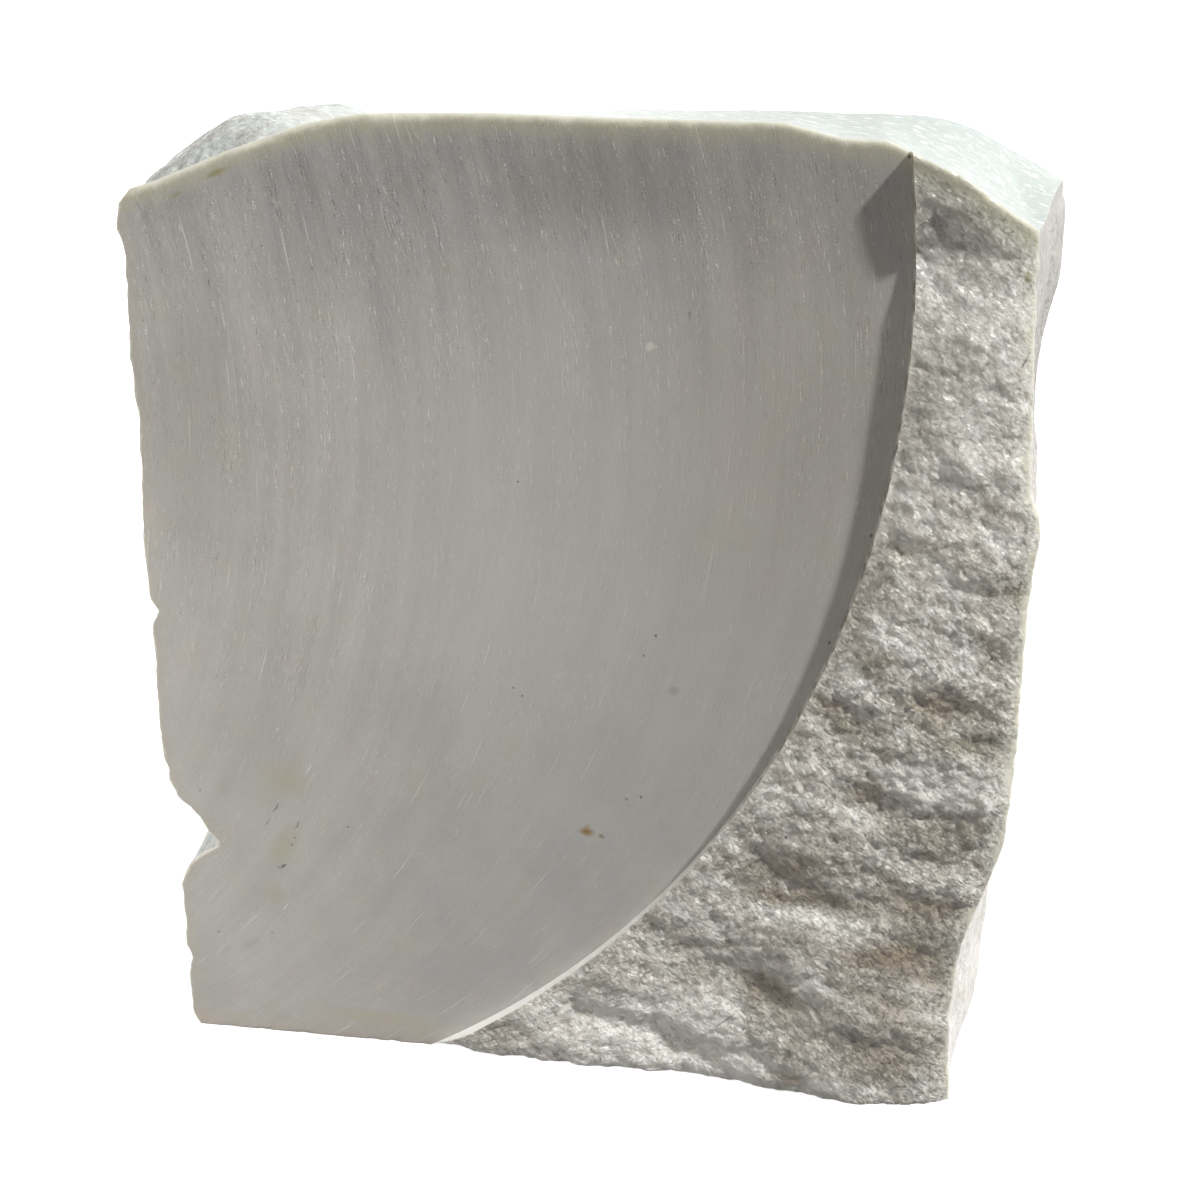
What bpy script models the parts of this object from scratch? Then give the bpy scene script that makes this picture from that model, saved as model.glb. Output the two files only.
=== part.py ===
"""Marble block: a rough block of white marble with one sawn side.

A round saw blade entered the front of the block and stopped inside it, so the sawn face ends in an
arc. Beyond the arc the stone broke away and left a rough fracture that stands a few millimetres
proud of the cut. The block is modelled in that order: a lattice box is shaped into the split block,
then the blade's disc and the flat of the base are cut from it.
"""
import itertools
import math

import bmesh
import bpy
import numpy as np

# Driving dimensions, in metres. The origin is the middle of the base, +Z is up, and the sawn side
# faces -Y.
WIDTH = 0.249
DEPTH = 0.1045
HEIGHT = 0.264
SAWN_FACE_Y = -0.043
BACK_Y = 0.0497
BLADE_RADIUS = 0.250
BLADE_CENTRE = (-0.1715, 0.2167)
BLADE_THICKNESS = 0.040
BLADE_SEGMENTS = 192

# The lattice box: its cells along X, Y and Z, the stone left below the base for the flat cut, and
# the share of its triangles that the finished block keeps.
CELLS = (84, 22, 88)
BASE_ALLOWANCE = 0.006
KEPT_SHARE = 0.222

# Outline of the stone in the plane of the sawn face. Sides are (z, x) pairs and tops are (x, z).
FRONT_LEFT = (
    (0.000, -0.1200), (0.029, -0.1210), (0.050, -0.1190), (0.089, -0.1212), (0.120, -0.1198),
    (0.155, -0.1194), (0.187, -0.1170), (0.203, -0.1174), (0.223, -0.1163), (0.237, -0.1172),
    (0.243, -0.1159), (0.246, -0.1129),
)
FRONT_RIGHT = (
    (0.000, 0.1038), (0.026, 0.1017), (0.041, 0.1026), (0.059, 0.1048), (0.066, 0.1103),
    (0.084, 0.1113), (0.130, 0.1122), (0.166, 0.1129), (0.172, 0.1122), (0.177, 0.1093),
    (0.200, 0.1076), (0.239, 0.1046),
)
FRONT_TOP = (
    (-0.1129, 0.2457), (-0.1054, 0.2479), (-0.0871, 0.2548), (-0.0673, 0.2611), (-0.0528, 0.2634),
    (-0.0240, 0.2638), (0.0089, 0.2626), (0.0466, 0.2619), (0.0601, 0.2585), (0.0708, 0.2579),
    (0.0880, 0.2501), (0.0970, 0.2439), (0.1046, 0.2392),
)

# The same outline at the back of the block.
BACK_LEFT = ((0.000, -0.1250), (0.060, -0.1255), (0.160, -0.1243), (0.240, -0.1232))
BACK_RIGHT = (
    (0.000, 0.1255), (0.060, 0.1245), (0.130, 0.1212), (0.180, 0.1205), (0.212, 0.1246),
    (0.240, 0.1240),
)
BACK_TOP = (
    (-0.1232, 0.2400), (-0.1194, 0.2454), (-0.1146, 0.2513), (-0.1087, 0.2553), (-0.1028, 0.2586),
    (-0.0971, 0.2610), (-0.0915, 0.2622), (0.0000, 0.2626), (0.0714, 0.2621), (0.0813, 0.2615),
    (0.0912, 0.2597), (0.0983, 0.2573), (0.1056, 0.2533), (0.1144, 0.2487), (0.1240, 0.2427),
)

# How far behind the sawn face the top has its back shape: a short chipped slope at the left end and
# the whole depth at the right end, changing over between two places along X.
SHOULDER_RUN_LEFT = 0.034
SHOULDER_RUN_RIGHT = 0.096
SHOULDER_CHANGE = (-0.060, 0.040)

# The dip behind the top edge at the left shoulder: its depth, its distance behind the sawn face, its
# half width, and where along X it fades in.
SHOULDER_DIP = 0.0022
SHOULDER_DIP_BEHIND = 0.009
SHOULDER_DIP_WIDTH = 0.006
SHOULDER_DIP_FADE = (-0.050, -0.080)

# How far up and down an outline is averaged for the body of a side, and how far back from the sawn
# face the outline's small steps reach.
SIDE_AVERAGE = (-0.024, -0.012, 0.0, 0.012, 0.024)
SIDE_STEP_REACH = 0.020

# The fracture beside the cut. STEP_AT_ARC gives its height above the sawn face along the arc, as
# (z, height) pairs. LEDGE_RISE is the band of heights where the ledge under the top corner rises.
STEP_AT_ARC = (
    (0.000, 0.0046), (0.014, 0.0038), (0.030, 0.0029), (0.120, 0.0027), (0.214, 0.0030),
    (0.222, 0.0015), (0.233, 0.0014), (0.246, 0.0049), (0.264, 0.0052),
)
FRACTURE_LEVEL = 0.0038
ARC_BLEND = 0.014
LEDGE_RISE = (0.230, 0.244)
LEDGE_HEIGHT = 0.0012
LEAST_STEP = -0.0015
FOOT_SWELL = 0.0064
FOOT_SWELL_PLACE = (0.078, 0.004)
FOOT_SWELL_REACH = (0.028, 0.046)

# How far the fracture falls back at its right edge and along its foot, most at the foot's left tip.
RIGHT_LIP = 0.0022
RIGHT_LIP_REACH = 0.004
FOOT_LIP = 0.0016
FOOT_LIP_REACH = 0.004
FOOT_TIP_X = -0.044
FOOT_TIP_LIP = 0.0045
FOOT_TIP_REACH = 0.012

# Hollows under small ledges of the fracture: centre x and z, half length, half width, tilt in
# degrees and depth. Each one is steep along its upper right side and runs out gently below: the two
# sides are given in half widths. They fade in over HOLLOW_FADE beyond the arc.
HOLLOW_STEEP_SIDE = (-0.2, 1.2)
HOLLOW_GENTLE_SIDE = 2.2
HOLLOW_FADE = (-0.002, 0.003)
HOLLOWS = (
    (0.083, 0.161, 0.007, 0.004, -15, 0.0013),
    (0.101, 0.191, 0.006, 0.004, -30, 0.0014),
    (0.101, 0.172, 0.008, 0.004, -20, 0.0013),
    (0.106, 0.151, 0.006, 0.007, -60, 0.0015),
    (0.104, 0.135, 0.007, 0.005, -35, 0.0014),
    (0.097, 0.120, 0.012, 0.004, -10, 0.0018),
    (0.070, 0.116, 0.008, 0.004, -20, 0.0011),
    (0.105, 0.110, 0.007, 0.004, -25, 0.0015),
    (0.076, 0.093, 0.009, 0.004, -35, 0.0015),
    (0.099, 0.087, 0.013, 0.004, -5, 0.0020),
    (0.091, 0.076, 0.009, 0.003, -10, 0.0013),
    (0.052, 0.071, 0.011, 0.004, -35, 0.0019),
    (0.066, 0.062, 0.012, 0.004, -10, 0.0018),
    (0.096, 0.061, 0.013, 0.005, -8, 0.0028),
    (0.095, 0.047, 0.011, 0.005, -25, 0.0026),
    (0.020, 0.049, 0.009, 0.004, -20, 0.0016),
    (0.036, 0.038, 0.009, 0.004, -30, 0.0015),
    (0.054, 0.031, 0.011, 0.005, -35, 0.0026),
    (0.089, 0.033, 0.010, 0.003, -10, 0.0014),
    (0.084, 0.017, 0.014, 0.005, -8, 0.0029),
    (0.027, 0.013, 0.013, 0.004, -15, 0.0024),
    (-0.002, 0.021, 0.009, 0.004, -45, 0.0016),
    (-0.023, 0.011, 0.007, 0.004, -40, 0.0013),
)

# Chips broken from the edges: centre, radii and depth. The first is the notch in the left edge.
CHIPS = (
    ((-0.119, -0.044, 0.0640), (0.020, 0.024, 0.0145), 0.0120),
    ((-0.119, -0.043, 0.1340), (0.008, 0.007, 0.0040), 0.0020),
    ((0.103, -0.030, 0.0250), (0.016, 0.016, 0.0400), 0.0030),
    ((-0.125, 0.053, 0.2350), (0.040, 0.040, 0.0450), 0.0120),
    ((0.125, 0.053, 0.0100), (0.030, 0.035, 0.0400), 0.0090),
    ((-0.030, 0.053, 0.2640), (0.045, 0.018, 0.0200), 0.0050),
    ((0.060, 0.053, 0.2640), (0.030, 0.022, 0.0160), 0.0040),
    ((-0.125, 0.020, 0.1300), (0.030, 0.034, 0.0500), 0.0035),
)
EDGE_ROUNDING = 0.004

# Lumps: their spacing across and along their length, their height and a seed for each size. Those
# of the fracture fade in beyond the arc and those of the split sides behind the sawn face. The top
# has only a share of them.
FRACTURE_LUMPS = ((0.013, 0.026, 0.0011, 11), (0.0065, 0.014, 0.00055, 12))
FRACTURE_LUMP_FADE = (-0.004, 0.006)
LUMP_TILT = math.radians(-34)
SPLIT_LUMPS = ((0.060, 0.060, 0.0030, 21), (0.024, 0.030, 0.0013, 22))
SPLIT_LUMP_FADE = (0.002, 0.030)
TOP_SHARE = 0.25
TOP_CELLS_FROM = 0.98

# How suddenly the outward direction turns from one face of the lattice to the next, as a power.
CORNER_SHARPNESS = 9

MARBLE_COLOUR = (0.62, 0.60, 0.56, 1.0)
MARBLE_ROUGHNESS = 0.55


def smoothstep(low, high, value):
    """Rise from 0 to 1 between two limits, flat at both."""
    share = np.clip((value - low) / (high - low), 0.0, 1.0)
    return share * share * (3.0 - 2.0 * share)


def along(pairs, value):
    """Read a line given as (place, height) pairs."""
    places, heights = zip(*pairs)
    return np.interp(value, places, heights)


def corner_slopes(cell, seed):
    """Slopes from -1 to 1 for each corner of a cubic grid, the same for the same corner and seed."""
    mixed = (cell * np.array((73856093, 19349663, 83492791))).sum(axis=-1) + seed * 15485863
    slopes = []
    for step in (1, 2, 3):
        value = (mixed * 2654435761 + step * 40503) & 0xFFFFFFFF
        value = ((value ^ (value >> 15)) * 2246822519) & 0xFFFFFFFF
        value = ((value ^ (value >> 13)) * 3266489917) & 0xFFFFFFFF
        slopes.append(((value ^ (value >> 16)) & 0xFFFF) / 32767.5 - 1.0)
    return np.stack(slopes, axis=-1)


def lumps(points, seed):
    """Smooth lumps about one unit apart, from about -1 to 1, blended between a grid's corners."""
    cell = np.floor(points).astype(np.int64)
    local = points - cell
    fade = local ** 3 * (local * (local * 6.0 - 15.0) + 10.0)
    total = np.zeros(points.shape[:-1])
    for offset in itertools.product((0, 1), repeat=3):
        corner = np.array(offset)
        weight = np.where(corner == 1, fade, 1.0 - fade).prod(axis=-1)
        total += weight * (corner_slopes(cell + corner, seed) * (local - corner)).sum(axis=-1)
    return total * 1.5


def top_height(x, behind):
    """Height of the top surface at a distance behind the sawn face."""
    change = smoothstep(*SHOULDER_CHANGE, x)
    run = SHOULDER_RUN_LEFT + (SHOULDER_RUN_RIGHT - SHOULDER_RUN_LEFT) * change
    blend = smoothstep(0.0, 1.0, behind / run)
    dip = SHOULDER_DIP * np.exp(-((behind - SHOULDER_DIP_BEHIND) / SHOULDER_DIP_WIDTH) ** 2)
    dip *= smoothstep(*SHOULDER_DIP_FADE, x)
    return along(FRONT_TOP, x) * (1.0 - blend) + along(BACK_TOP, x) * blend - dip


def side_place(front, back, height, behind):
    """Place of one side at a height and at a distance behind the sawn face."""
    blend = np.clip(behind / (BACK_Y - SAWN_FACE_Y), 0.0, 1.0)
    average = sum(along(front, height + shift) for shift in SIDE_AVERAGE) / len(SIDE_AVERAGE)
    steps = (along(front, height) - average) * np.exp(-behind / SIDE_STEP_REACH)
    return average * (1.0 - blend) + along(back, height) * blend + steps


def side_places(height, behind):
    """Left and right side of the stone at a height and at a distance behind the sawn face."""
    left = side_place(FRONT_LEFT, BACK_LEFT, height, behind)
    right = side_place(FRONT_RIGHT, BACK_RIGHT, height, behind)
    return left, right


def beyond_blade(x, z):
    """Distance outside the blade's rim, negative inside the sawn face."""
    return np.hypot(x - BLADE_CENTRE[0], z - BLADE_CENTRE[1]) - BLADE_RADIUS


def hollow_depth(x, z):
    """Depth of all the fracture's hollows together at a place."""
    total = np.zeros_like(x)
    for centre_x, centre_z, length, width, tilt, depth in HOLLOWS:
        cos, sin = math.cos(math.radians(tilt)), math.sin(math.radians(tilt))
        lengthwise = ((x - centre_x) * cos + (z - centre_z) * sin) / length
        across = ((z - centre_z) * cos - (x - centre_x) * sin) / width
        steep_side = 1.0 - smoothstep(*HOLLOW_STEEP_SIDE, across)
        gentle_side = np.exp(-(np.minimum(across, 0.0) / HOLLOW_GENTLE_SIDE) ** 2)
        total += depth * np.exp(-lengthwise ** 2) * steep_side * gentle_side
    return total


def ribbed_lumps(x, z, sizes):
    """Lumps drawn out along a line that falls to the right, added up over their sizes."""
    cos, sin = math.cos(LUMP_TILT), math.sin(LUMP_TILT)
    lengthwise, across = x * cos + z * sin, z * cos - x * sin
    total = np.zeros_like(x)
    for width, length, height, seed in sizes:
        places = np.stack((lengthwise / length, across / width, np.full_like(x, 0.5)), axis=-1)
        total += height * lumps(places, seed)
    return total


def fracture_height(x, z):
    """Height of the fracture above the plane of the sawn face."""
    outside = beyond_blade(x, z)
    _, right = side_places(z, 0.0)
    swell_x = (x - FOOT_SWELL_PLACE[0]) / FOOT_SWELL_REACH[0]
    swell_z = (z - FOOT_SWELL_PLACE[1]) / FOOT_SWELL_REACH[1]
    level = FRACTURE_LEVEL + FOOT_SWELL * np.exp(-swell_x ** 2 - swell_z ** 2)
    from_arc = smoothstep(0.0, ARC_BLEND, outside)
    level += LEDGE_HEIGHT * smoothstep(*LEDGE_RISE, z)
    height = along(STEP_AT_ARC, z) * (1.0 - from_arc) + level * from_arc
    height += ribbed_lumps(x, z, FRACTURE_LUMPS) * smoothstep(*FRACTURE_LUMP_FADE, outside)
    height -= hollow_depth(x, z) * smoothstep(*HOLLOW_FADE, outside)
    height -= RIGHT_LIP * np.exp(-np.maximum(right - x, 0.0) / RIGHT_LIP_REACH)
    lip = FOOT_LIP + FOOT_TIP_LIP * np.exp(-((x - FOOT_TIP_X) / FOOT_TIP_REACH) ** 2)
    height -= lip * np.exp(-np.maximum(z, 0.0) / FOOT_LIP_REACH)
    return np.maximum(height, LEAST_STEP)


def chip_depth(x, y, z):
    """Depth of the chips at a place: each is a cone, deepest at its centre."""
    total = np.zeros_like(x)
    for centre, radii, depth in CHIPS:
        offsets = [(value - middle) / radius for value, middle, radius in zip((x, y, z), centre, radii)]
        distance = np.sqrt(sum(offset ** 2 for offset in offsets))
        total += depth * np.clip(1.0 - distance, 0.0, 1.0)
    return total


def shape_block(across, back, up):
    """Place the lattice's points: across, back and up run from 0 to 1 over the block.

    The outline is read at each point's depth, blended from the front outline to the back one. The
    front then takes the fracture's height, and the other faces move out or in by their lumps.
    """
    depth = BACK_Y - SAWN_FACE_Y
    left_corner, right_corner = FRONT_LEFT[-1][0], FRONT_RIGHT[-1][0]
    corner = left_corner + (right_corner - left_corner) * across
    left, right = side_places(up * corner, 0.0)
    front_x = left + (right - left) * across
    front_z = up * top_height(front_x, 0.0)
    proud = fracture_height(front_x, front_z)

    y = SAWN_FACE_Y - proud + (depth + proud) * back
    behind = np.maximum(y - SAWN_FACE_Y, 0.0)
    left, right = side_places(up * corner, behind)
    rounding = EDGE_ROUNDING * smoothstep(depth - 2.0 * EDGE_ROUNDING, depth, behind)
    left, right = left + rounding, right - rounding
    x = left + (right - left) * across
    z = -BASE_ALLOWANCE + (top_height(x, behind) - rounding + BASE_ALLOWANCE) * up

    outward = np.stack((across, back, up), axis=-1) * 2.0 - 1.0
    outward = np.sign(outward) * np.abs(outward) ** CORNER_SHARPNESS
    outward[..., 1] = np.maximum(outward[..., 1], 0.0)
    outward /= np.maximum(np.linalg.norm(outward, axis=-1, keepdims=True), 1.0)
    places = np.stack((x, y, z), axis=-1)
    growth = np.zeros_like(x)
    for width, _, height, seed in SPLIT_LUMPS:
        growth += height * lumps(places / width, seed)
    growth *= smoothstep(*SPLIT_LUMP_FADE, behind) * np.where(up > TOP_CELLS_FROM, TOP_SHARE, 1.0)
    places += outward * (growth - chip_depth(x, y, z))[..., None]
    return places


def lattice_box():
    """A box of one unit, cut into cells along each axis in turn."""
    mesh = bmesh.new()
    bmesh.ops.create_cube(mesh, size=1.0)
    for axis, cells in enumerate(CELLS):
        parallel = [edge for edge in mesh.edges
                    if abs(edge.verts[0].co[axis] - edge.verts[1].co[axis]) > 0.5]
        bmesh.ops.subdivide_edges(mesh, edges=parallel, cuts=cells - 1, use_grid_fill=True)
    return mesh


def marble_material():
    """Plain white marble, slightly warm, broken and sawn but not polished."""
    material = bpy.data.materials.new("white_marble")
    material.use_nodes = True
    shader = material.node_tree.nodes["Principled BSDF"]
    shader.inputs["Base Color"].default_value = MARBLE_COLOUR
    shader.inputs["Roughness"].default_value = MARBLE_ROUGHNESS
    shader.inputs["Metallic"].default_value = 0.0
    return material


def object_from(mesh, name):
    """Turn a bmesh into a named object of the scene."""
    data = bpy.data.meshes.new(name)
    mesh.to_mesh(data)
    mesh.free()
    item = bpy.data.objects.new(name, data)
    bpy.context.scene.collection.objects.link(item)
    return item


def add_cut(block, cutter, name):
    """Take a cutter's volume away from the block, and leave the cutter as a guide."""
    cut = block.modifiers.new(name, 'BOOLEAN')
    cut.operation = 'DIFFERENCE'
    cut.solver = 'EXACT'
    cut.object = cutter
    cutter.hide_render = True
    cutter.display_type = 'WIRE'


def saw_blade():
    """The blade's disc, from the sawn face forwards."""
    mesh = bmesh.new()
    bmesh.ops.create_cone(
        mesh, cap_ends=True, segments=BLADE_SEGMENTS, radius1=BLADE_RADIUS, radius2=BLADE_RADIUS,
        depth=BLADE_THICKNESS)
    blade = object_from(mesh, "saw_blade")
    blade.rotation_euler = (math.pi / 2, 0.0, 0.0)
    blade.location = (BLADE_CENTRE[0], SAWN_FACE_Y - BLADE_THICKNESS / 2, BLADE_CENTRE[1])
    return blade


def ground_plane():
    """A slab under the block, whose top is the plane of the base."""
    mesh = bmesh.new()
    bmesh.ops.create_cube(mesh, size=1.0)
    bmesh.ops.scale(mesh, vec=(WIDTH * 1.5, DEPTH * 2.0, BASE_ALLOWANCE * 4.0), verts=mesh.verts)
    slab = object_from(mesh, "ground_plane")
    slab.location = (0.0, 0.0, -BASE_ALLOWANCE * 2.0)
    return slab


def marble_block():
    """The whole stone: the shaped lattice, thinned, sawn by the blade and flat at its base."""
    mesh = lattice_box()
    shares = np.array([vertex.co for vertex in mesh.verts]) + 0.5
    places = shape_block(shares[:, 0], shares[:, 1], shares[:, 2])
    limits = np.array((WIDTH / 2, DEPTH / 2, HEIGHT))
    places = np.clip(places, (-limits[0], -limits[1], -BASE_ALLOWANCE), limits)
    for vertex, place in zip(mesh.verts, places):
        vertex.co = place
    block = object_from(mesh, "marble_block")
    block.data.materials.append(marble_material())
    thinned = block.modifiers.new("thinned", 'DECIMATE')
    thinned.ratio = KEPT_SHARE
    add_cut(block, saw_blade(), "saw_cut")
    add_cut(block, ground_plane(), "flat_base")
    return block


def clear_scene():
    """Remove whatever the scene holds."""
    for item in list(bpy.data.objects):
        bpy.data.objects.remove(item, do_unlink=True)


clear_scene()
marble_block()
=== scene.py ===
"""Dress the marble block: one finely broken, sawn and weathered stone on a pale studio floor.

The stone's front is two sheets that meet at the kerf wall, where the saw blade's rim stopped: the
flat sawn face inside the arc and the rough fracture beyond it. Loops run from the front's outline
to the back, and a sheet closes the back. +Z is up, and the sawn face looks towards -Y. The tables
of places and sizes are in millimetres, and every other length is in metres.
"""
import itertools
import math

import bpy
import numpy as np
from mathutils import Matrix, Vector


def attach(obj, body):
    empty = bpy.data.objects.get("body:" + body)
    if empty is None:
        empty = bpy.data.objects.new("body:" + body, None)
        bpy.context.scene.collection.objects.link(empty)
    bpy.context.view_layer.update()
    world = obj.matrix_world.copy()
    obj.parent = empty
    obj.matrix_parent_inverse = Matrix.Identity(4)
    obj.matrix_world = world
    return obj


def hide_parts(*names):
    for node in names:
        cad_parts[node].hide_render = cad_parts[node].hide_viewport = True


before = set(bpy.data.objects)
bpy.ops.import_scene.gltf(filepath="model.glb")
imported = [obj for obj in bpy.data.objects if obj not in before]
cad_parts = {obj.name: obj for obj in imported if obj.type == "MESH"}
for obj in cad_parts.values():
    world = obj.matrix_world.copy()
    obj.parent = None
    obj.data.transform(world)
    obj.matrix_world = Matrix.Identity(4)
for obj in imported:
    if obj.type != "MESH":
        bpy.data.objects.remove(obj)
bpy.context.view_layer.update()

bl_info = {
    "name": "Marble block",
    "version": (1, 0, 0),
    "blender": (4, 5, 0),
    "location": "3D View > Sidebar > Marble block",
    "description": "Builds a rough marble block with one sawn face, and its studio",
    "category": "Object",
}


def metres(table):
    """Turn a table in millimetres to metres."""
    return np.asarray(table) / 1000.0


# The most that the stone may reach, the planes of the sawn face and the back, and the blade's rim.
HALF_WIDTH = 0.1244
HALF_DEPTH = 0.0521
HEIGHT = 0.2637
SAWN_FACE_Y = -0.043
BACK_Y = 0.0497
BLADE_RADIUS = 0.250
BLADE_CENTRE = (-0.1715, 0.2167)

# How softly a height or a side comes to rest at the most it may reach, and the same for the top.
SOFT_LIMIT = 0.0004
SOFT_LIMIT_TOP = 0.0002

# Outline of the stone in the plane of the sawn face. Sides are (z, x) pairs and tops are (x, z).
FRONT_LEFT = metres((
    (0, -118.4), (1.2, -119.2), (4.1, -120.6), (18.1, -120.1), (23, -120.3), (30.4, -120.3), (41.2, -120),
    (49.1, -119.4), (53.1, -117.7), (56.6, -115.4), (60.5, -110.2), (62.5, -105.9), (64.5, -107.4),
    (67.3, -109.6), (71.6, -111.7), (77.4, -117.6), (83.5, -119.9), (88.4, -120.5), (99.3, -120.9),
    (120, -119.8), (155, -119.4), (187, -117), (203, -117.4), (223, -116.3), (237, -117.2), (243, -115.9),
    (246, -112.9),
))
FRONT_RIGHT = metres((
    (0, 104.3), (28, 102.7), (42, 103.1), (52, 104.2), (63, 107.1), (73, 110.1), (83, 112.3),
    (102, 112.7), (130, 112.3), (150, 111.8), (166, 112.9), (172, 112.2), (177, 109.5), (200, 107.9),
    (216, 106.8), (239, 105.6),
))
FRONT_TOP = metres((
    (-112.9, 245.7), (-105.4, 247.9), (-87.1, 254.8), (-67.3, 261.1), (-52.8, 263.4), (-24, 263.7),
    (8.9, 262.6), (46.6, 261.9), (60.1, 258.5), (70.8, 257.9), (88, 250.1), (97, 243.9), (105.6, 238.7),
))

# The same outline at the back of the block.
BACK_LEFT = metres((
    (0, -125), (60, -125.5), (160, -124.3), (240, -123.2),
))
BACK_RIGHT = metres((
    (0, 125.5), (60, 124.5), (130, 121.2), (180, 120.5), (212, 124.6), (240, 124),
))
BACK_TOP = metres((
    (-123.2, 240), (-119.4, 245.4), (-114.6, 251.3), (-108.7, 255.3), (-102.8, 258.6), (-97.1, 261.8),
    (-91.5, 263), (-86, 263.2), (-81, 262.4), (-76, 260), (-70, 258.6), (-55, 258.6), (-30, 260.8),
    (0, 262.2), (71.4, 262.1), (81.3, 261.5), (91.2, 259.7), (98.3, 257.3), (105.6, 253.3),
    (114.4, 248.7), (124, 242.7),
))

# How far behind the sawn face the top has its back shape, at the left end and at the right end,
# and where along x the one changes to the other.
SHOULDER_RUN_LEFT = 0.034
SHOULDER_RUN_RIGHT = 0.096
SHOULDER_CHANGE = (-0.06, 0.04)

# The dip just behind the left shoulder's arris: its depth, how far behind the face it is deepest,
# its half width, and where along x it comes in.
SHOULDER_DIP = 0.0022
SHOULDER_DIP_BEHIND = 0.009
SHOULDER_DIP_WIDTH = 0.006
SHOULDER_DIP_FADE = (-0.05, -0.08)

# The heights over which an outline is averaged for the body of a side, how far back its small steps
# reach, and the radius of the back's edges.
SIDE_AVERAGE = (-0.024, -0.012, 0.0, 0.012, 0.024)
SIDE_STEP_REACH = 0.020
BACK_ROUNDING = 0.004

# Height of the fracture above the sawn face, as (z, height) pairs: along the arc, with the ledge
# under the top corner, and away from it. The blend is the distance from the one to the other.
STEP_AT_ARC = metres((
    (0, 4.6), (14, 3.8), (30, 2.9), (120, 2.7), (200, 3), (223.9, 2.6), (235.2, 1.1), (236, 2.8),
    (240, 3.4), (247, 4), (264, 4.3),
))
FRACTURE_LEVEL = metres((
    (0, 3.8), (190, 3.8), (214, 2.8), (225, 1.8), (264, 1.9),
))
ARC_BLEND = 0.008

# The swell near the fracture's foot: its height, and its centre and reach as x and z. Then the
# least and the most that the fracture may stand above the sawn face.
FOOT_SWELL = 0.0064
FOOT_SWELL_PLACE = (0.078, 0.004)
FOOT_SWELL_REACH = (0.028, 0.046)
LEAST_STEP = -0.0015
MOST_PROUD = 0.0089

# How far the fracture falls back at its right edge and along its foot, most at the foot's left tip,
# how far into the fracture that reaches, and how high and how far apart are the small lumps that
# make it uneven.
RIGHT_LIP = 0.0022
RIGHT_LIP_REACH = 0.004
RIGHT_LIP_WANDER = 0.0026
RIGHT_LIP_SPACING = 0.005
FOOT_LIP = 0.0016
FOOT_LIP_REACH = 0.004
FOOT_LIP_WANDER = 0.0016
FOOT_LIP_SPACING = 0.008
FOOT_TIP_X = -0.044
FOOT_TIP_LIP = 0.0045
FOOT_TIP_REACH = 0.012

# The ledge near the top of the fracture: its broken edge as (x, z) pairs, its height above the
# stone under it, the width of its steep face, its edge's wobble and the spacing of that, and where
# along x it ends.
LEDGE = metres((
    (70, 234), (77.8, 239.6), (81.6, 243.4), (84.9, 243.8), (89.5, 241.2), (94.2, 238.4), (97.4, 235),
    (108, 231),
))
LEDGE_HEIGHT = 0.0023
LEDGE_FACE = 0.0026
LEDGE_WOBBLE = 0.0006
LEDGE_WOBBLE_SPACING = 0.004
LEDGE_FADE = (0.106, 0.086)

# Hollows under small ledges of the fracture: centre x and z, half length, half width, depth, and
# tilt in degrees. Each is stretched on its gentle, lower side, and all are bent by small lumps of
# one spacing. The share is how much of the depth is cut.
HOLLOWS = (
    (83, 161, 7, 4, 1.3, -15), (101, 191, 6, 4, 1.4, -30), (101, 172, 8, 4, 1.3, -20),
    (106, 151, 6, 7, 1.5, -60), (104, 135, 7, 5, 1.4, -35), (97, 120, 12, 4, 1.8, -10),
    (70, 116, 8, 4, 1.1, -20), (105, 110, 7, 4, 1.5, -25), (76, 93, 9, 4, 1.5, -35),
    (99, 87, 13, 4, 2, -5), (91, 76, 9, 3, 1.3, -10), (52, 71, 11, 4, 1.9, -35),
    (66, 62, 12, 4, 1.8, -10), (93, 62, 11, 5, 2, -8), (95, 47, 11, 5, 2.6, -25),
    (20, 49, 9, 4, 1.6, -20), (36, 38, 9, 4, 1.5, -30), (54, 31, 11, 5, 2.6, -35),
    (89, 33, 10, 3, 1.4, -10), (84, 17, 14, 5, 2.9, -8), (27, 13, 13, 4, 2.4, -15),
    (-2, 21, 9, 4, 1.6, -45), (-23, 11, 7, 4, 1.3, -40),
)
HOLLOW_GENTLE_SIDE = 2.0
HOLLOW_BEND = 0.0014
HOLLOW_BEND_SPACING = 0.006
HOLLOW_SHARE = 0.85

# Chips broken from the edges: centre, radii and depth.
CHIPS = (
    ((-119, -43, 134), (8, 7, 4), 2), ((103, -30, 25), (16, 16, 40), 3),
    ((-125, 53, 235), (40, 40, 45), 12), ((125, 53, 10), (30, 35, 40), 9),
    ((-30, 53, 264), (45, 18, 20), 5), ((60, 53, 264), (30, 22, 16), 4),
    ((-125, 20, 130), (30, 34, 50), 3.5), ((-121, -43, 86), (5, 6, 3), 0.6),
    ((-120, -43, 37), (4, 7, 6), 0.9), ((-120, -43, 23), (4, 5, 5), 1.6),
    ((-119, -43, 230), (5, 6, 6), 1.4),
)

# Lumps drawn out along a line: spacing across and along it, height, seed, and the line's turn from
# level in degrees. The heights of the ribs are shares of the rib height.
LEDGE_LUMPS = ((0.0120, 0.026, 0.00085, 11, -12), (0.0062, 0.011, 0.00055, 12, -18))
RIB_LUMPS = ((0.0040, 0.0070, 1.25, 13, -22), (0.0022, 0.0038, 0.7, 14, -34))

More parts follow.
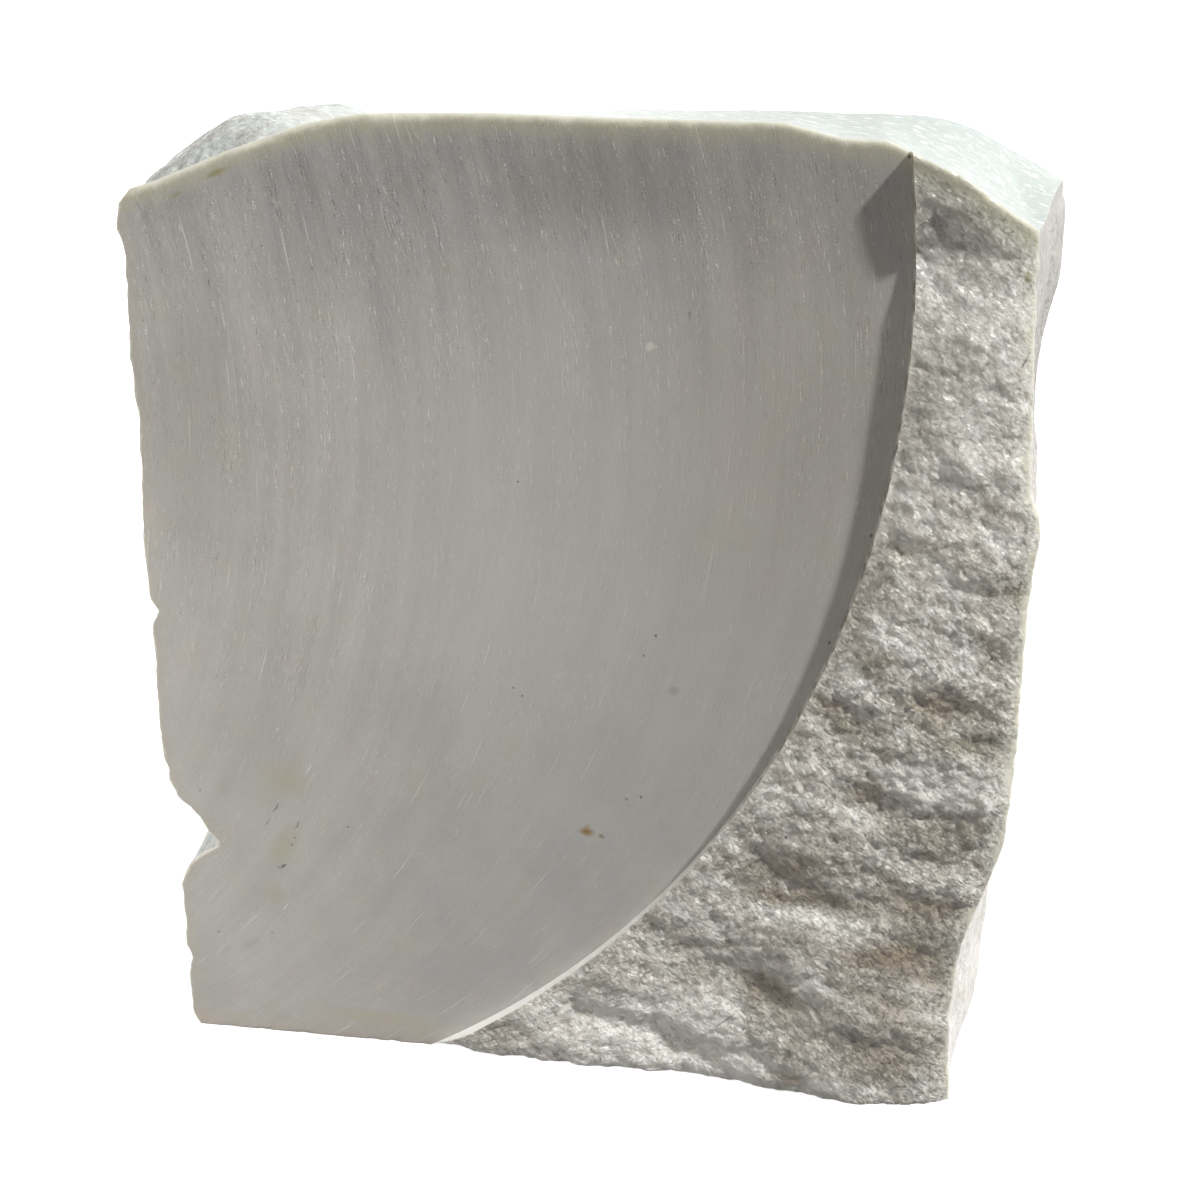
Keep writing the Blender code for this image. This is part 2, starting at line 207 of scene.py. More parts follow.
# Lumps of the split sides, top and back: spacing, height and seed. They grow from nothing over a
# distance behind the sawn face. The top, above a share of the height, has only a share of them.
SPLIT_LUMPS = (
    (0.060, 0.0030, 21), (0.024, 0.0013, 22), (0.011, 0.0005, 23), (0.005, 0.0003, 24),
)
SPLIT_FADE = (0.002, 0.030)
TOP_LUMPS = 0.25
TOP_STARTS_UP = 0.98

# Where along x the smooth top gives way to the rough left shoulder, and how sharply the direction
# in which the split surface moves turns at the block's edges.
SHOULDER_END = (-0.065, -0.085)
CORNER_SHARPNESS = 9

# Crystals of the fracture: share of the full crystal size, steepness of the flat sides and seed.
# They lie along the grain's tilt from level, in degrees, and are longer that way. As shares of
# their size: how far a centre moves in its cell, how much they differ in height, and how far their
# sides sink.
CRYSTALS = ((1.0, 0.11, 31), (0.56, 0.14, 32))
CRYSTAL_STRETCH = 1.4
CRYSTAL_SCATTER = 0.42
CRYSTAL_STEP = 0.12
CRYSTAL_SINK = 0.30
GRAIN_TILT = -38

# The fracture's relief is calmer higher up: the share that it loses, and between which heights.
CALM = ((0.40, 0.11, 0.19), (0.25, 0.205, 0.220))

# Distances over which relief comes in: large lumps and hollows from the fracture's outline, which
# they pass a little at the right, and crystals from the arc, the rubbed right edge and the top.
LUMPS_PAST_EDGE = 0.002
LUMP_FADE = (0.0, 0.012)
HOLLOW_FADE = (-0.002, 0.003)
CRYSTAL_FADE = (0.0, 0.003)
RUBBED_RIGHT = (0.0010, 0.0045)
RUBBED_TOP = (0.0015, 0.0075)

# The broken edge of the outline: how far it wobbles, the share, spacing and seed of its wobbles,
# and how far behind the front its own chips reach. Then how far the kerf wall's edge is worn back,
# the share by which that varies along it, and the spacing.
EDGE_WOBBLE = 0.00035
EDGE_WOBBLES = ((1.0, 0.0042, 54), (0.6, 0.0019, 55))
OWN_EDGE_REACH = 0.006
KERF_WEAR = 0.00028
KERF_NIBBLE = 0.8
KERF_NIBBLE_SPACING = 0.0022

# The worn arris, as shares of its radius: its even part, a ripple and its spacing, and small chips
# as spacing, seed, the heights of a lump at which a chip starts and is full, and its size. A share
# of a large chip's depth widens it, and it is broader along the top.
ARRIS_EVEN = 0.75
ARRIS_RIPPLE = 0.2
ARRIS_RIPPLE_SPACING = 0.0016
ARRIS_CHIPS = ((0.0034, 51, 0.05, 0.9, 1.6), (0.0080, 52, 0.2, 0.9, 1.8))
ARRIS_CHIP_SHARE = 0.35
TOP_ARRIS_SPREAD = 2.0

# The path of the blade's rim over the sawn face, as circles of one radius and height.
SAW_PATH_RADIUS = 0.235
SAW_PATH_Z = 0.193

# The depth at which a hollow counts as full, dusty and in painted shade, and the angle from which an edge
# is sharp.
FULL_HOLLOW = 0.0025
SHARP_ANGLE = math.radians(50)

# Spots: centre x and z, half length, half width, turn in degrees, colour and strength.
# On the sawn face the first six spots are broad lighter and darker patches, partly painted light and
# shade, and the dark one under the top edge at x 4.5 is painted shade.
SAWN_SPOTS = (
    (-5, 165, 75, 90, 0, "#c6c5c2", 0.6), (35, 120, 30, 70, -30, "#b9b8b5", 0.4),
    (51.2, 193, 45, 85, 0, "#b6aea5", 0.38), (4.5, 247.6, 34, 16, 0, "#716d66", 0.36),
    (-102.5, 190.4, 20, 55, 0, "#87837b", 0.36), (-96.2, 92.2, 24, 28, 0, "#94918a", 0.28),
    (0.8, 75.6, 2.7, 1.7, -8, "#8a6a2c", 0.95), (1.2, 77.2, 1.1, 1, 60, "#97814e", 0.6),
    (4.9, 74.7, 1.3, 0.7, -20, "#66603f", 0.75), (19, 134.7, 0.6, 0.6, 0, "#3a352c", 0.9),
    (16.1, 129.2, 0.4, 0.4, 0, "#5a5448", 0.7), (-18.8, 117.6, 0.4, 0.4, 0, "#4a443a", 0.8),
    (-16.6, 115.4, 0.5, 0.4, 0, "#4a443a", 0.8), (-13.9, 112.9, 0.4, 0.3, 0, "#5a5448", 0.7),
    (-67.5, 71.7, 0.5, 0.4, 30, "#4b4536", 0.85), (-16.5, 174.7, 0.5, 0.4, 0, "#5a5448", 0.7),
    (11.6, 86.6, 0.6, 0.6, 0, "#6a6350", 0.75), (15.7, 87.5, 0.5, 0.6, 0, "#4f4a3c", 0.8),
    (75.5, 254.7, 0.8, 0.7, 0, "#2e2a22", 0.9), (-110.9, 80.1, 0.6, 0.5, 0, "#66604f", 0.7),
    (-109.4, 33.3, 0.7, 0.5, 20, "#5c5646", 0.7), (-92.9, 34.8, 0.6, 0.4, -30, "#5c5646", 0.7),
    (72.4, 164.6, 0.7, 0.7, 0, "#3a3428", 0.85), (72.7, 160.7, 0.6, 0.8, 0, "#3a3428", 0.85),
    (63.7, 135.3, 0.5, 0.9, -30, "#2e2a20", 0.85), (16.8, 209.9, 1.7, 1.4, 30, "#dedcd2", 0.75),
    (26.3, 217.8, 0.3, 1.3, 0, "#6a655c", 0.6), (24.1, 119.5, 2.2, 1.8, 20, "#8f8f87", 0.55),
    (-88.5, 76.2, 2.2, 0.4, 58, "#564e3a", 0.75), (-91.2, 71.4, 2.6, 0.3, 58, "#837d6c", 0.7),
    (-82.6, 71.2, 1.8, 0.4, 58, "#6e6548", 0.7), (-83.7, 66.9, 0.6, 0.4, 40, "#4c452f", 0.85),
    (-84.8, 64.5, 0.6, 0.5, 40, "#4c452f", 0.85), (-87.6, 57.4, 1.7, 0.6, 35, "#4c452f", 0.9),
    (-89.2, 56.9, 0.7, 0.4, 35, "#6b6246", 0.7), (-85, 85.3, 8.5, 6.5, -30, "#aaa48f", 0.6),
    (-87.2, 64.5, 10, 4.4, 62, "#aaa38e", 0.6), (-91.2, 48, 4.2, 5, 0, "#aca48f", 0.55),
    (-77.8, 88.9, 2.4, 0.5, 58, "#d4d2ca", 0.7), (-88.1, 43.7, 2.2, 0.5, 45, "#d4d2ca", 0.7),
    (-86, 101, 1, 0.8, 0, "#d4d2ca", 0.5), (-62, 8, 30, 3.6, -3, "#b6ac9b", 0.58),
    (-103, 82, 5, 3, 60, "#9a9b97", 0.32), (-100, 30, 5, 2, 40, "#93938f", 0.3),
    (-108, 27, 3, 1.2, 45, "#93938f", 0.32), (-90, 249.5, 4, 1, 22, "#8f8750", 0.75),
    (-101, 244, 2, 0.8, 22, "#8f8a60", 0.6),
)
# On the fracture the grey-brown spots at x 71.5, 81.7, 82, 88, 88.9 and 57.7 are painted shade, along the
# arc, under the ledge and low down. The #f6f5f1 spots are painted light on lit lumps, and the brown ones
# of strength 0.62 to 0.68 are painted shade in the hollows.
BROKEN_SPOTS = (
    (18, 12, 52, 24, -12, "#fbfaf6", 0.85), (88, 26, 33, 20, 0, "#a59b8e", 0.5),
    (104, 98, 12, 10, 0, "#fbfaf6", 0.7), (71.5, 149, 9.5, 26, -18, "#867b6a", 0.48),
    (82, 199.7, 15, 24, -10, "#7f7a6c", 0.42), (88.9, 45.5, 26, 23, 0, "#8f8677", 0.56),
    (81.7, 242.2, 14, 20, 0, "#7f7a6c", 0.36), (57.7, 48.9, 13, 10, -10, "#8a8070", 0.42),
    (37, 23.3, 15, 11, -10, "#fbfaf6", 0.5), (93.3, 98.4, 15, 12, 0, "#fbfaf6", 0.48),
    (55.2, 80.4, 0.6, 0.6, 0, "#211d16", 0.95), (84.8, 99.6, 15.5, 5.6, -20, "#f6f5f1", 0.75),
    (107.4, 96.2, 4.9, 5.6, 0, "#f6f5f1", 0.75), (72.4, 87.8, 8.5, 4, -20, "#f6f5f1", 0.75),
    (70.2, 55.3, 21.2, 5.4, -5, "#f6f5f1", 0.75), (39.1, 26.9, 8.5, 7.1, 0, "#f6f5f1", 0.75),
    (46.3, 7.8, 14.1, 7.8, -10, "#f6f5f1", 0.75), (49.7, 91.8, 8.5, 6.4, -20, "#f6f5f1", 0.75),
    (78, 141.2, 8.5, 4.2, -20, "#f6f5f1", 0.75), (72.9, 4.8, 19.8, 3.5, 0, "#f6f5f1", 0.75),
    (62.7, 35.7, 8.5, 5.4, 0, "#f6f5f1", 0.75), (98.2, 29.2, 9.9, 3.5, -10, "#f6f5f1", 0.75),
    (91.4, 36.1, 8.5, 4.2, -20, "#f6f5f1", 0.75), (76.1, 95, 7.1, 5.1, -10, "#8a7860", 0.68),
    (57.8, 72.4, 13.4, 6.8, -10, "#857662", 0.68), (48, 81.7, 9.2, 3.7, -10, "#858077", 0.62),
    (66.6, 119.6, 9.2, 3.7, -10, "#8f7f68", 0.64), (91, 121.7, 12, 5.1, -8, "#88785f", 0.68),
    (74.7, 132, 7.1, 6.4, 0, "#7d7761", 0.66), (83.3, 46.6, 17.7, 4.8, 5, "#8a7860", 0.68),
    (53.1, 33.5, 12, 7.1, -20, "#857662", 0.68), (77.5, 20.5, 10.6, 5.6, 0, "#858077", 0.62),
    (95.6, 62.5, 13.4, 5.1, 0, "#8f7f68", 0.64), (56.2, 62, 25.4, 3.7, 0, "#88785f", 0.68),
    (99.8, 110.2, 13.4, 4.2, 10, "#7d7761", 0.66), (59.7, 5.3, 7.1, 3.1, 0, "#8a7860", 0.68),
    (60, 130, 4, 2.5, -30, "#a8977f", 0.5), (80, 133, 5, 2.6, -25, "#9f8f78", 0.5),
    (108.5, 151, 2.4, 4.8, 10, "#8a8366", 0.6), (103.9, 228.2, 1.2, 2, 15, "#8d8a55", 0.75),
    (104.8, 208.7, 2.2, 0.4, 60, "#6e4f36", 0.8), (103.6, 206, 1.4, 0.4, -40, "#7e6248", 0.7),
    (97.1, 132.5, 5.8, 4, -35, "#f4f5f2", 0.85), (95, 185, 6, 4, -35, "#f0f1ee", 0.55),
    (36, 29, 6, 4, -35, "#f2f0e8", 0.8), (56, 64, 3, 0.5, -60, "#fbfbf8", 0.85),
    (59, 56, 3.6, 0.5, -75, "#fbfbf8", 0.7), (28, 23.1, 0.5, 0.4, 0, "#3a352c", 0.8),
    (29.6, 22.6, 0.4, 0.4, 0, "#3a352c", 0.8), (41.1, 21.6, 4.5, 0.3, 45, "#4c463c", 0.8),
    (41.3, 28.8, 4.5, 0.4, -45, "#fbfaf6", 0.85), (79.7, 240.4, 2.4, 0.3, 30, "#544b40", 0.75),
)

# The studio: the floor's radius, how far out it is flat and how far it rises past that, where the
# key light comes from, and the camera.
FLOOR_RADIUS = 12.0
FLOOR_FLAT = 2.0
FLOOR_RISE = 4.5
KEY_DIRECTION = (0.627, -0.2215, 0.747)
CAMERA_PLACE = (0.0558, -0.3949, 0.2740)
CAMERA_LOOK = (-0.1356, 0.9293, -0.3437)
CAMERA_LENS = 43.83

# Grids: cells of the sawn face and of the fracture across and up, of the coarse loops along the
# base, the right side, the top and the left side, and of the back. The columns and rows near an
# arris and the close loops behind it are given by their distance from it.
SAWN_CELLS = (110, 150)
BROKEN_CELLS = (146, 300)
LOOP_CELLS = (70, 118, 118, 104)
LOOP_SHARES = np.linspace(0.0, 1.0, 31)[1:]
BACK_CELLS = (96, 100)
BACK_INSET = 0.010
EDGE_PLACES = np.array((0.0, 0.00012, 0.00035, 0.0007, 0.0012, 0.0019))
FRONT_LOOPS = (0.0009, 0.0021)


def smoothstep(low, high, value):
    """Rise from 0 to 1 between two limits, flat at both."""
    share = np.clip((value - low) / (high - low), 0.0, 1.0)
    return share * share * (3.0 - 2.0 * share)


def along(pairs, value):
    """Read a line given as (place, height) pairs."""
    return np.interp(value, *pairs.T)


def held_below(most, value, softness=SOFT_LIMIT):
    """The value, eased so that it never passes the most that is allowed."""
    return most - np.logaddexp(0.0, (most - value) / softness) * softness


def corner_slopes(cell, seed):
    """Slopes from -1 to 1 for each corner of a cubic grid, the same for the same corner and seed.

    The corner's numbers are mixed by large primes and bit shifts to 16 bits that look random.
    """
    mixed = (cell * np.array((73856093, 19349663, 83492791))).sum(axis=-1) + seed * 15485863
    slopes = []
    for step in (1, 2, 3):
        value = (mixed * 2654435761 + step * 40503) & 0xFFFFFFFF
        value = ((value ^ (value >> 15)) * 2246822519) & 0xFFFFFFFF
        value = ((value ^ (value >> 13)) * 3266489917) & 0xFFFFFFFF
        slopes.append(((value ^ (value >> 16)) & 0xFFFF) / 32767.5 - 1.0)
    return np.stack(slopes, axis=-1)


def lumps(points, seed):
    """Smooth lumps about one unit apart, from about -1 to 1, blended between a grid's corners."""
    cell = np.floor(points).astype(np.int64)
    local = points - cell
    fade = local ** 3 * (local * (local * 6.0 - 15.0) + 10.0)
    total = np.zeros(points.shape[:-1])
    for offset in itertools.product((0, 1), repeat=3):
        corner = np.array(offset)
        weight = np.where(corner == 1, fade, 1.0 - fade).prod(axis=-1)
        total += weight * (corner_slopes(cell + corner, seed) * (local - corner)).sum(axis=-1)
    return total * 1.5


def flat_lumps(x, z, size, seed):
    """Lumps over the plane of the front, with their spacing in metres. Each use has its seed."""
    return lumps(np.stack((x / size, np.full_like(x, 0.5), z / size), axis=-1), seed)


def turned(x, z, degrees):
    """Turn a place on the front to coordinates along and across a line."""
    cos, sin = math.cos(math.radians(degrees)), math.sin(math.radians(degrees))
    return x * cos + z * sin, z * cos - x * sin


def crystal_height(x, z, size, steepness, seed):
    """Height of crowded flat-sided crystals.

    Each cell of a stretched grid holds one crystal centre, moved about in its cell, and a plane
    through it that is tilted at random. A plane sinks with the square of the distance from its
    centre, and the surface is the highest of the planes of the nine nearest cells.
    """
    lengthwise, across = turned(x, z, GRAIN_TILT)
    places = np.stack((lengthwise / (size * CRYSTAL_STRETCH), across / size), axis=-1)
    cell = np.floor(places).astype(np.int64)
    highest = np.full(x.shape, -9.0)
    for offset in itertools.product((-1, 0, 1), repeat=2):
        near = cell + np.array(offset)
        corner = np.concatenate((near, np.zeros_like(near[..., :1])), axis=-1)
        moved, tilt = corner_slopes(corner, seed), corner_slopes(corner, seed + 100)
        reach = places - near - 0.5 - CRYSTAL_SCATTER * moved[..., :2]
        plane = (tilt[..., :2] * reach).sum(axis=-1) * steepness + CRYSTAL_STEP * tilt[..., 2]
        highest = np.maximum(highest, plane - CRYSTAL_SINK * (reach ** 2).sum(axis=-1))
    return highest * size


def top_height(x, behind):
    """Height of the top surface at a distance behind the sawn face.

    It blends from the front outline to the back one over the shoulder's run, less a bell-shaped
    dip just behind the left shoulder.
    """
    change = smoothstep(*SHOULDER_CHANGE, x)
    run = SHOULDER_RUN_LEFT + (SHOULDER_RUN_RIGHT - SHOULDER_RUN_LEFT) * change
    blend = smoothstep(0.0, 1.0, behind / run)
    bell = np.exp(-((behind - SHOULDER_DIP_BEHIND) / SHOULDER_DIP_WIDTH) ** 2)
    dip = SHOULDER_DIP * bell * smoothstep(*SHOULDER_DIP_FADE, x)
    return along(FRONT_TOP, x) * (1.0 - blend) + along(BACK_TOP, x) * blend - dip


def side_place(front, back, height, behind):
    """Place of one side at a height and at a distance behind the sawn face.

    The front outline's average over some heights blends to the back outline, and the outline's
    own small steps die away behind the face.
    """
    blend = np.clip(behind / (BACK_Y - SAWN_FACE_Y), 0.0, 1.0)
    average = sum(along(front, height + shift) for shift in SIDE_AVERAGE) / len(SIDE_AVERAGE)
    steps = (along(front, height) - average) * np.exp(-behind / SIDE_STEP_REACH)
    return average * (1.0 - blend) + along(back, height) * blend + steps


def side_places(height, behind):
    """Left and right side of the stone at a height and at a distance behind the sawn face."""
    return (side_place(FRONT_LEFT, BACK_LEFT, height, behind),
            side_place(FRONT_RIGHT, BACK_RIGHT, height, behind))


def beyond_blade(x, z):
    """Distance outside the blade's rim, negative inside the sawn face."""
    return np.hypot(x - BLADE_CENTRE[0], z - BLADE_CENTRE[1]) - BLADE_RADIUS


def hollow_depth(x, z):
    """Depth of all the fracture's hollows together at a place.

    Each is a bell on a turned ellipse, stretched on its lower side, and all of them are bent by
    small lumps.
    """
    x = x + HOLLOW_BEND * flat_lumps(x, z, HOLLOW_BEND_SPACING, 42)
    z = z + HOLLOW_BEND * flat_lumps(x, z, HOLLOW_BEND_SPACING, 43)
    total = np.zeros_like(x)
    for *sizes, tilt in HOLLOWS:
        centre_x, centre_z, length, width, depth = metres(sizes)
        lengthwise, across = turned(x - centre_x, z - centre_z, tilt)
        across = np.where(across > 0.0, across, across / HOLLOW_GENTLE_SIDE) / width
        total += depth * np.exp(-(lengthwise / length) ** 2 - across ** 2)
    return total


def ribbed_lumps(x, z, sizes):
    """Lumps drawn out along a line that falls to the right, added up over their sizes."""
    total = np.zeros_like(x)
    for width, length, height, seed, tilt in sizes:
        lengthwise, across = turned(x, z, tilt)
        places = np.stack((lengthwise / length, across / width, np.full_like(x, 0.5)), axis=-1)
        total += height * lumps(places, seed)
    return total


def uneven_right(x, z, right):
    """Distance from the right edge, made uneven by small lumps."""
    return right - x + RIGHT_LIP_WANDER * flat_lumps(x, z, RIGHT_LIP_SPACING, 71)


def fracture_height(x, z, settings):
    """Height of the fracture above the plane of the sawn face.

    A level that rises towards the foot, plus ribbed lumps, crystals and the ledge near the top,
    less the hollows and the lips at the right edge and the foot. Near the arc the level gives way
    to the height of the step there.
    """
    outside = beyond_blade(x, z)
    _, right = side_places(z, 0.0)
    swell_x = (x - FOOT_SWELL_PLACE[0]) / FOOT_SWELL_REACH[0]
    swell_z = (z - FOOT_SWELL_PLACE[1]) / FOOT_SWELL_REACH[1]
    level = along(FRACTURE_LEVEL, z) + FOOT_SWELL * np.exp(-swell_x ** 2 - swell_z ** 2)
    from_arc = smoothstep(0.0, ARC_BLEND, outside)
    over_ledge = z - along(LEDGE, x) + LEDGE_WOBBLE * flat_lumps(x, z, LEDGE_WOBBLE_SPACING, 41)
    ledge = LEDGE_HEIGHT * smoothstep(-LEDGE_FACE, 0.0, over_ledge) * smoothstep(*LEDGE_FADE, x)
    height = along(STEP_AT_ARC, z) * (1.0 - from_arc) + (level + ledge) * from_arc
    calm = 1.0
    for share, low, high in CALM:
        calm = calm - share * smoothstep(low, high, z)
    inside = np.minimum(outside, right - x + LUMPS_PAST_EDGE)
    height += ribbed_lumps(x, z, LEDGE_LUMPS) * smoothstep(*LUMP_FADE, inside) * calm
    small = ribbed_lumps(x, z, RIB_LUMPS) * settings.rib_height
    for share, steepness, seed in CRYSTALS:
        small += crystal_height(x, z, settings.crystal_size * share, steepness, seed) * calm
    unrubbed = smoothstep(*RUBBED_RIGHT, uneven_right(x, z, right))
    unrubbed = unrubbed * smoothstep(*RUBBED_TOP, top_height(x, 0.0) - z)
    height += small * smoothstep(*CRYSTAL_FADE, outside) * unrubbed
    height -= HOLLOW_SHARE * hollow_depth(x, z) * smoothstep(*HOLLOW_FADE, inside)
    height -= RIGHT_LIP * np.exp(-np.maximum(right - x, 0.0) / RIGHT_LIP_REACH)
    wander = FOOT_LIP_WANDER * flat_lumps(x, np.zeros_like(x), FOOT_LIP_SPACING, 72)
    height -= wander * np.exp(-z / FOOT_LIP_REACH)
    lip = FOOT_LIP + FOOT_TIP_LIP * np.exp(-((x - FOOT_TIP_X) / FOOT_TIP_REACH) ** 2)
    height -= lip * np.exp(-np.maximum(z, 0.0) / FOOT_LIP_REACH)
    return held_below(MOST_PROUD, np.maximum(height, LEAST_STEP))


def chip_depth(x, y, z):
    """Depth of the chips at a place: each is a cone, deepest at its centre."""
    total = np.zeros_like(x)
    for centre, radii, depth in CHIPS:
        offsets = [(value - middle) / radius
                   for value, middle, radius in zip((x, y, z), metres(centre), metres(radii))]
        distance = np.sqrt(sum(offset ** 2 for offset in offsets))
        total += depth / 1000.0 * np.clip(1.0 - distance, 0.0, 1.0)
    return total


def front_rows(up):
    """Left edge, arc and right edge of the front for each row, as x.

    A row lies at one share of the top's height. The edges take the small wobble of a broken arris
    and the chips. The arc's x is found by putting the row's z into the circle of the blade's rim
    a few times over.
    """
    left, _ = side_places(up * FRONT_LEFT[-1][0], 0.0)
    _, right = side_places(up * FRONT_RIGHT[-1][0], 0.0)
    arc = np.full_like(up, 0.05)
    for _ in range(12):
        z = up * top_height(arc, 0.0)
        arc = BLADE_CENTRE[0] + np.sqrt(BLADE_RADIUS ** 2 - (z - BLADE_CENTRE[1]) ** 2)
    front = np.full_like(up, SAWN_FACE_Y)
    for edge, inward in ((left, 1.0), (right, -1.0)):
        z = up * top_height(edge, 0.0)
        edge += inward * chip_depth(edge, front, z)
        edge += EDGE_WOBBLE * sum(share * flat_lumps(edge, z, size, seed)
                                  for share, size, seed in EDGE_WOBBLES)
    return left, arc, right


def arris_drop(x, z, from_side, radius):
    """How far the front falls back near its outline, as a quarter circle of uneven radius."""
    from_top = (top_height(x, 0.0) - z) / TOP_ARRIS_SPREAD
    from_edge = np.minimum(from_side, np.minimum(from_top, z))
    chipped = sum(most * smoothstep(start, full, flat_lumps(x, z, size, seed))
                  for size, seed, start, full, most in ARRIS_CHIPS)
    ripple = ARRIS_RIPPLE * flat_lumps(x, z, ARRIS_RIPPLE_SPACING, 53)
    uneven = radius * (ARRIS_EVEN + ripple + chipped)
    uneven += ARRIS_CHIP_SHARE * chip_depth(x, np.full_like(x, SAWN_FACE_Y), z)
    lean = np.clip(1.0 - np.maximum(from_edge, 0.0) / uneven, 0.0, 1.0)
    return uneven * (1.0 - np.sqrt(1.0 - lean ** 2))


def row_shares(cells):
    """Shares of the height for a sheet's rows, close together near the top and the bottom."""
    near = EDGE_PLACES / FRONT_TOP[0][1]
    middle = np.linspace(near[-1], 1.0 - near[-1], cells + 1)[1:-1]
    return np.concatenate((near, middle, 1.0 - near[::-1]))


def front_sheet(cells, settings, broken):
    """One sheet of the front: its points, and their shares across and up the block.

    The sawn face has its columns from the left edge to the arc, and is flat but for its worn
    arrises. The fracture has them from the arc, a little worn back, to the right edge.
    """
    up = row_shares(cells[1])[:, None]
    left, arc, right = front_rows(up)
    shares = np.linspace(0.0, 1.0, cells[0] + 1)
    if broken:
        nibbled = KERF_NIBBLE * flat_lumps(arc, up * top_height(arc, 0.0), KERF_NIBBLE_SPACING, 61)
        start, end = arc + KERF_WEAR * (1.0 + nibbled), right - EDGE_PLACES[::-1]
        x = np.concatenate((start + (end[:, :1] - start) * shares[:-1], end), axis=1)
        z = up * top_height(x, 0.0)
        proud, from_side = fracture_height(x, z, settings), right - x
    else:
        start = left + EDGE_PLACES
        x = np.concatenate((start, start[:, -1:] + (arc - start[:, -1:]) * shares[1:]), axis=1)
        z = up * top_height(x, 0.0)
        proud, from_side = 0.0, x - left
    y = SAWN_FACE_Y - proud + arris_drop(x, z, from_side, settings.arris_radius)
    return np.stack((x, y, z), axis=-1), (x - left) / (right - left), up.ravel()


def split_shape(across, up, front_y, y):
    """Place on the sides, the top, the base or the back, from shares across and up the block.

    The outline is read at each point's depth, blended from the front outline to the back one. Then
    the point moves out or in by lumps of four sizes, less the chips. The base stays flat.
    """
    depth = BACK_Y - SAWN_FACE_Y
    behind = np.maximum(y - SAWN_FACE_Y, 0.0)
    corner = FRONT_LEFT[-1][0] + (FRONT_RIGHT[-1][0] - FRONT_LEFT[-1][0]) * across
    left, right = side_places(up * corner, behind)
    rounding = BACK_ROUNDING * smoothstep(depth - 2.0 * BACK_ROUNDING, depth, behind)
    left, right = left + rounding, right - rounding
    x = left + (right - left) * across
    z = (top_height(x, behind) - rounding) * up
    back = np.clip((y - front_y) / (BACK_Y - front_y), 0.0, 1.0)
    outward = np.stack((across, back, up), axis=-1) * 2.0 - 1.0
    outward = np.sign(outward) * np.abs(outward) ** CORNER_SHARPNESS
    outward[..., 1:] = np.maximum(outward[..., 1:], 0.0)
    outward /= np.maximum(np.linalg.norm(outward, axis=-1, keepdims=True), 1.0)
    places = np.stack((x, y, z), axis=-1)
    share = TOP_LUMPS + (1.0 - TOP_LUMPS) * smoothstep(*SHOULDER_END, x)
    growth = np.zeros_like(x)
    for width, height, seed in SPLIT_LUMPS:
        growth += height * lumps(places / width, seed)
    growth *= smoothstep(*SPLIT_FADE, behind) * np.where(up > TOP_STARTS_UP, share, 1.0)
    places += outward * (growth - chip_depth(x, y, z))[..., None]
    places[..., 0] = held_below(HALF_WIDTH, places[..., 0])
    places[..., 0] = -held_below(HALF_WIDTH, -places[..., 0])
    places[..., 1] = held_below(HALF_DEPTH, places[..., 1])
    places[..., 2] = held_below(HEIGHT, np.maximum(places[..., 2], 0.0), SOFT_LIMIT_TOP)
    places[..., 2] = np.where(up == 0.0, 0.0, places[..., 2])
    return places


def zip_rows(front, front_at, rear, rear_at):
    """Triangles between two rows of points that need not have the same number of them.

    Both rows have a rising place for each point. Each edge of a row makes a triangle with the
    point of the other row that is nearest to the edge's middle.
    """
    front_middles = (front_at[1:] + front_at[:-1]) / 2
    rear_middles = (rear_at[1:] + rear_at[:-1]) / 2
    nearest = np.searchsorted(rear_middles, front_middles)
    turn = np.searchsorted(front_middles, rear_middles, side='right')
    sides = np.stack((front[:-1], rear[nearest], front[1:]), axis=1)
    ends = np.stack((front[turn], rear[:-1], rear[1:]), axis=1)
    return np.concatenate((sides, ends))


def zip_loops(front, front_at, rear, rear_at, length):
    """Triangles between two closed loops, each zipped back to its own first point."""
    return zip_rows(np.append(front, front[0]), np.append(front_at, length),
                    np.append(rear, rear[0]), np.append(rear_at, length))


def grid_faces(index):
    """Two triangles for each cell of a sheet of point numbers, on its side that faces -Y."""
    a, b, c, d = index[:-1, :-1], index[:-1, 1:], index[1:, 1:], index[1:, :-1]
    return np.concatenate([np.stack(corners, axis=-1).reshape(-1, 3)
                           for corners in ((a, b, c), (a, c, d))])


def numbered(shape, first):
    """Point numbers of a sheet, counted along its rows."""
    return np.arange(shape[0] * shape[1]).reshape(shape[:2]) + first


def evenly_picked(places, cells):
    """Numbers of the points that lie about evenly along a side, with both its ends."""
    length = np.concatenate(((0.0,), np.cumsum(np.linalg.norm(np.diff(places, axis=0), axis=1))))
    return np.unique(np.searchsorted(length, np.linspace(0.0, length[-1] * 0.999999, cells + 1)))


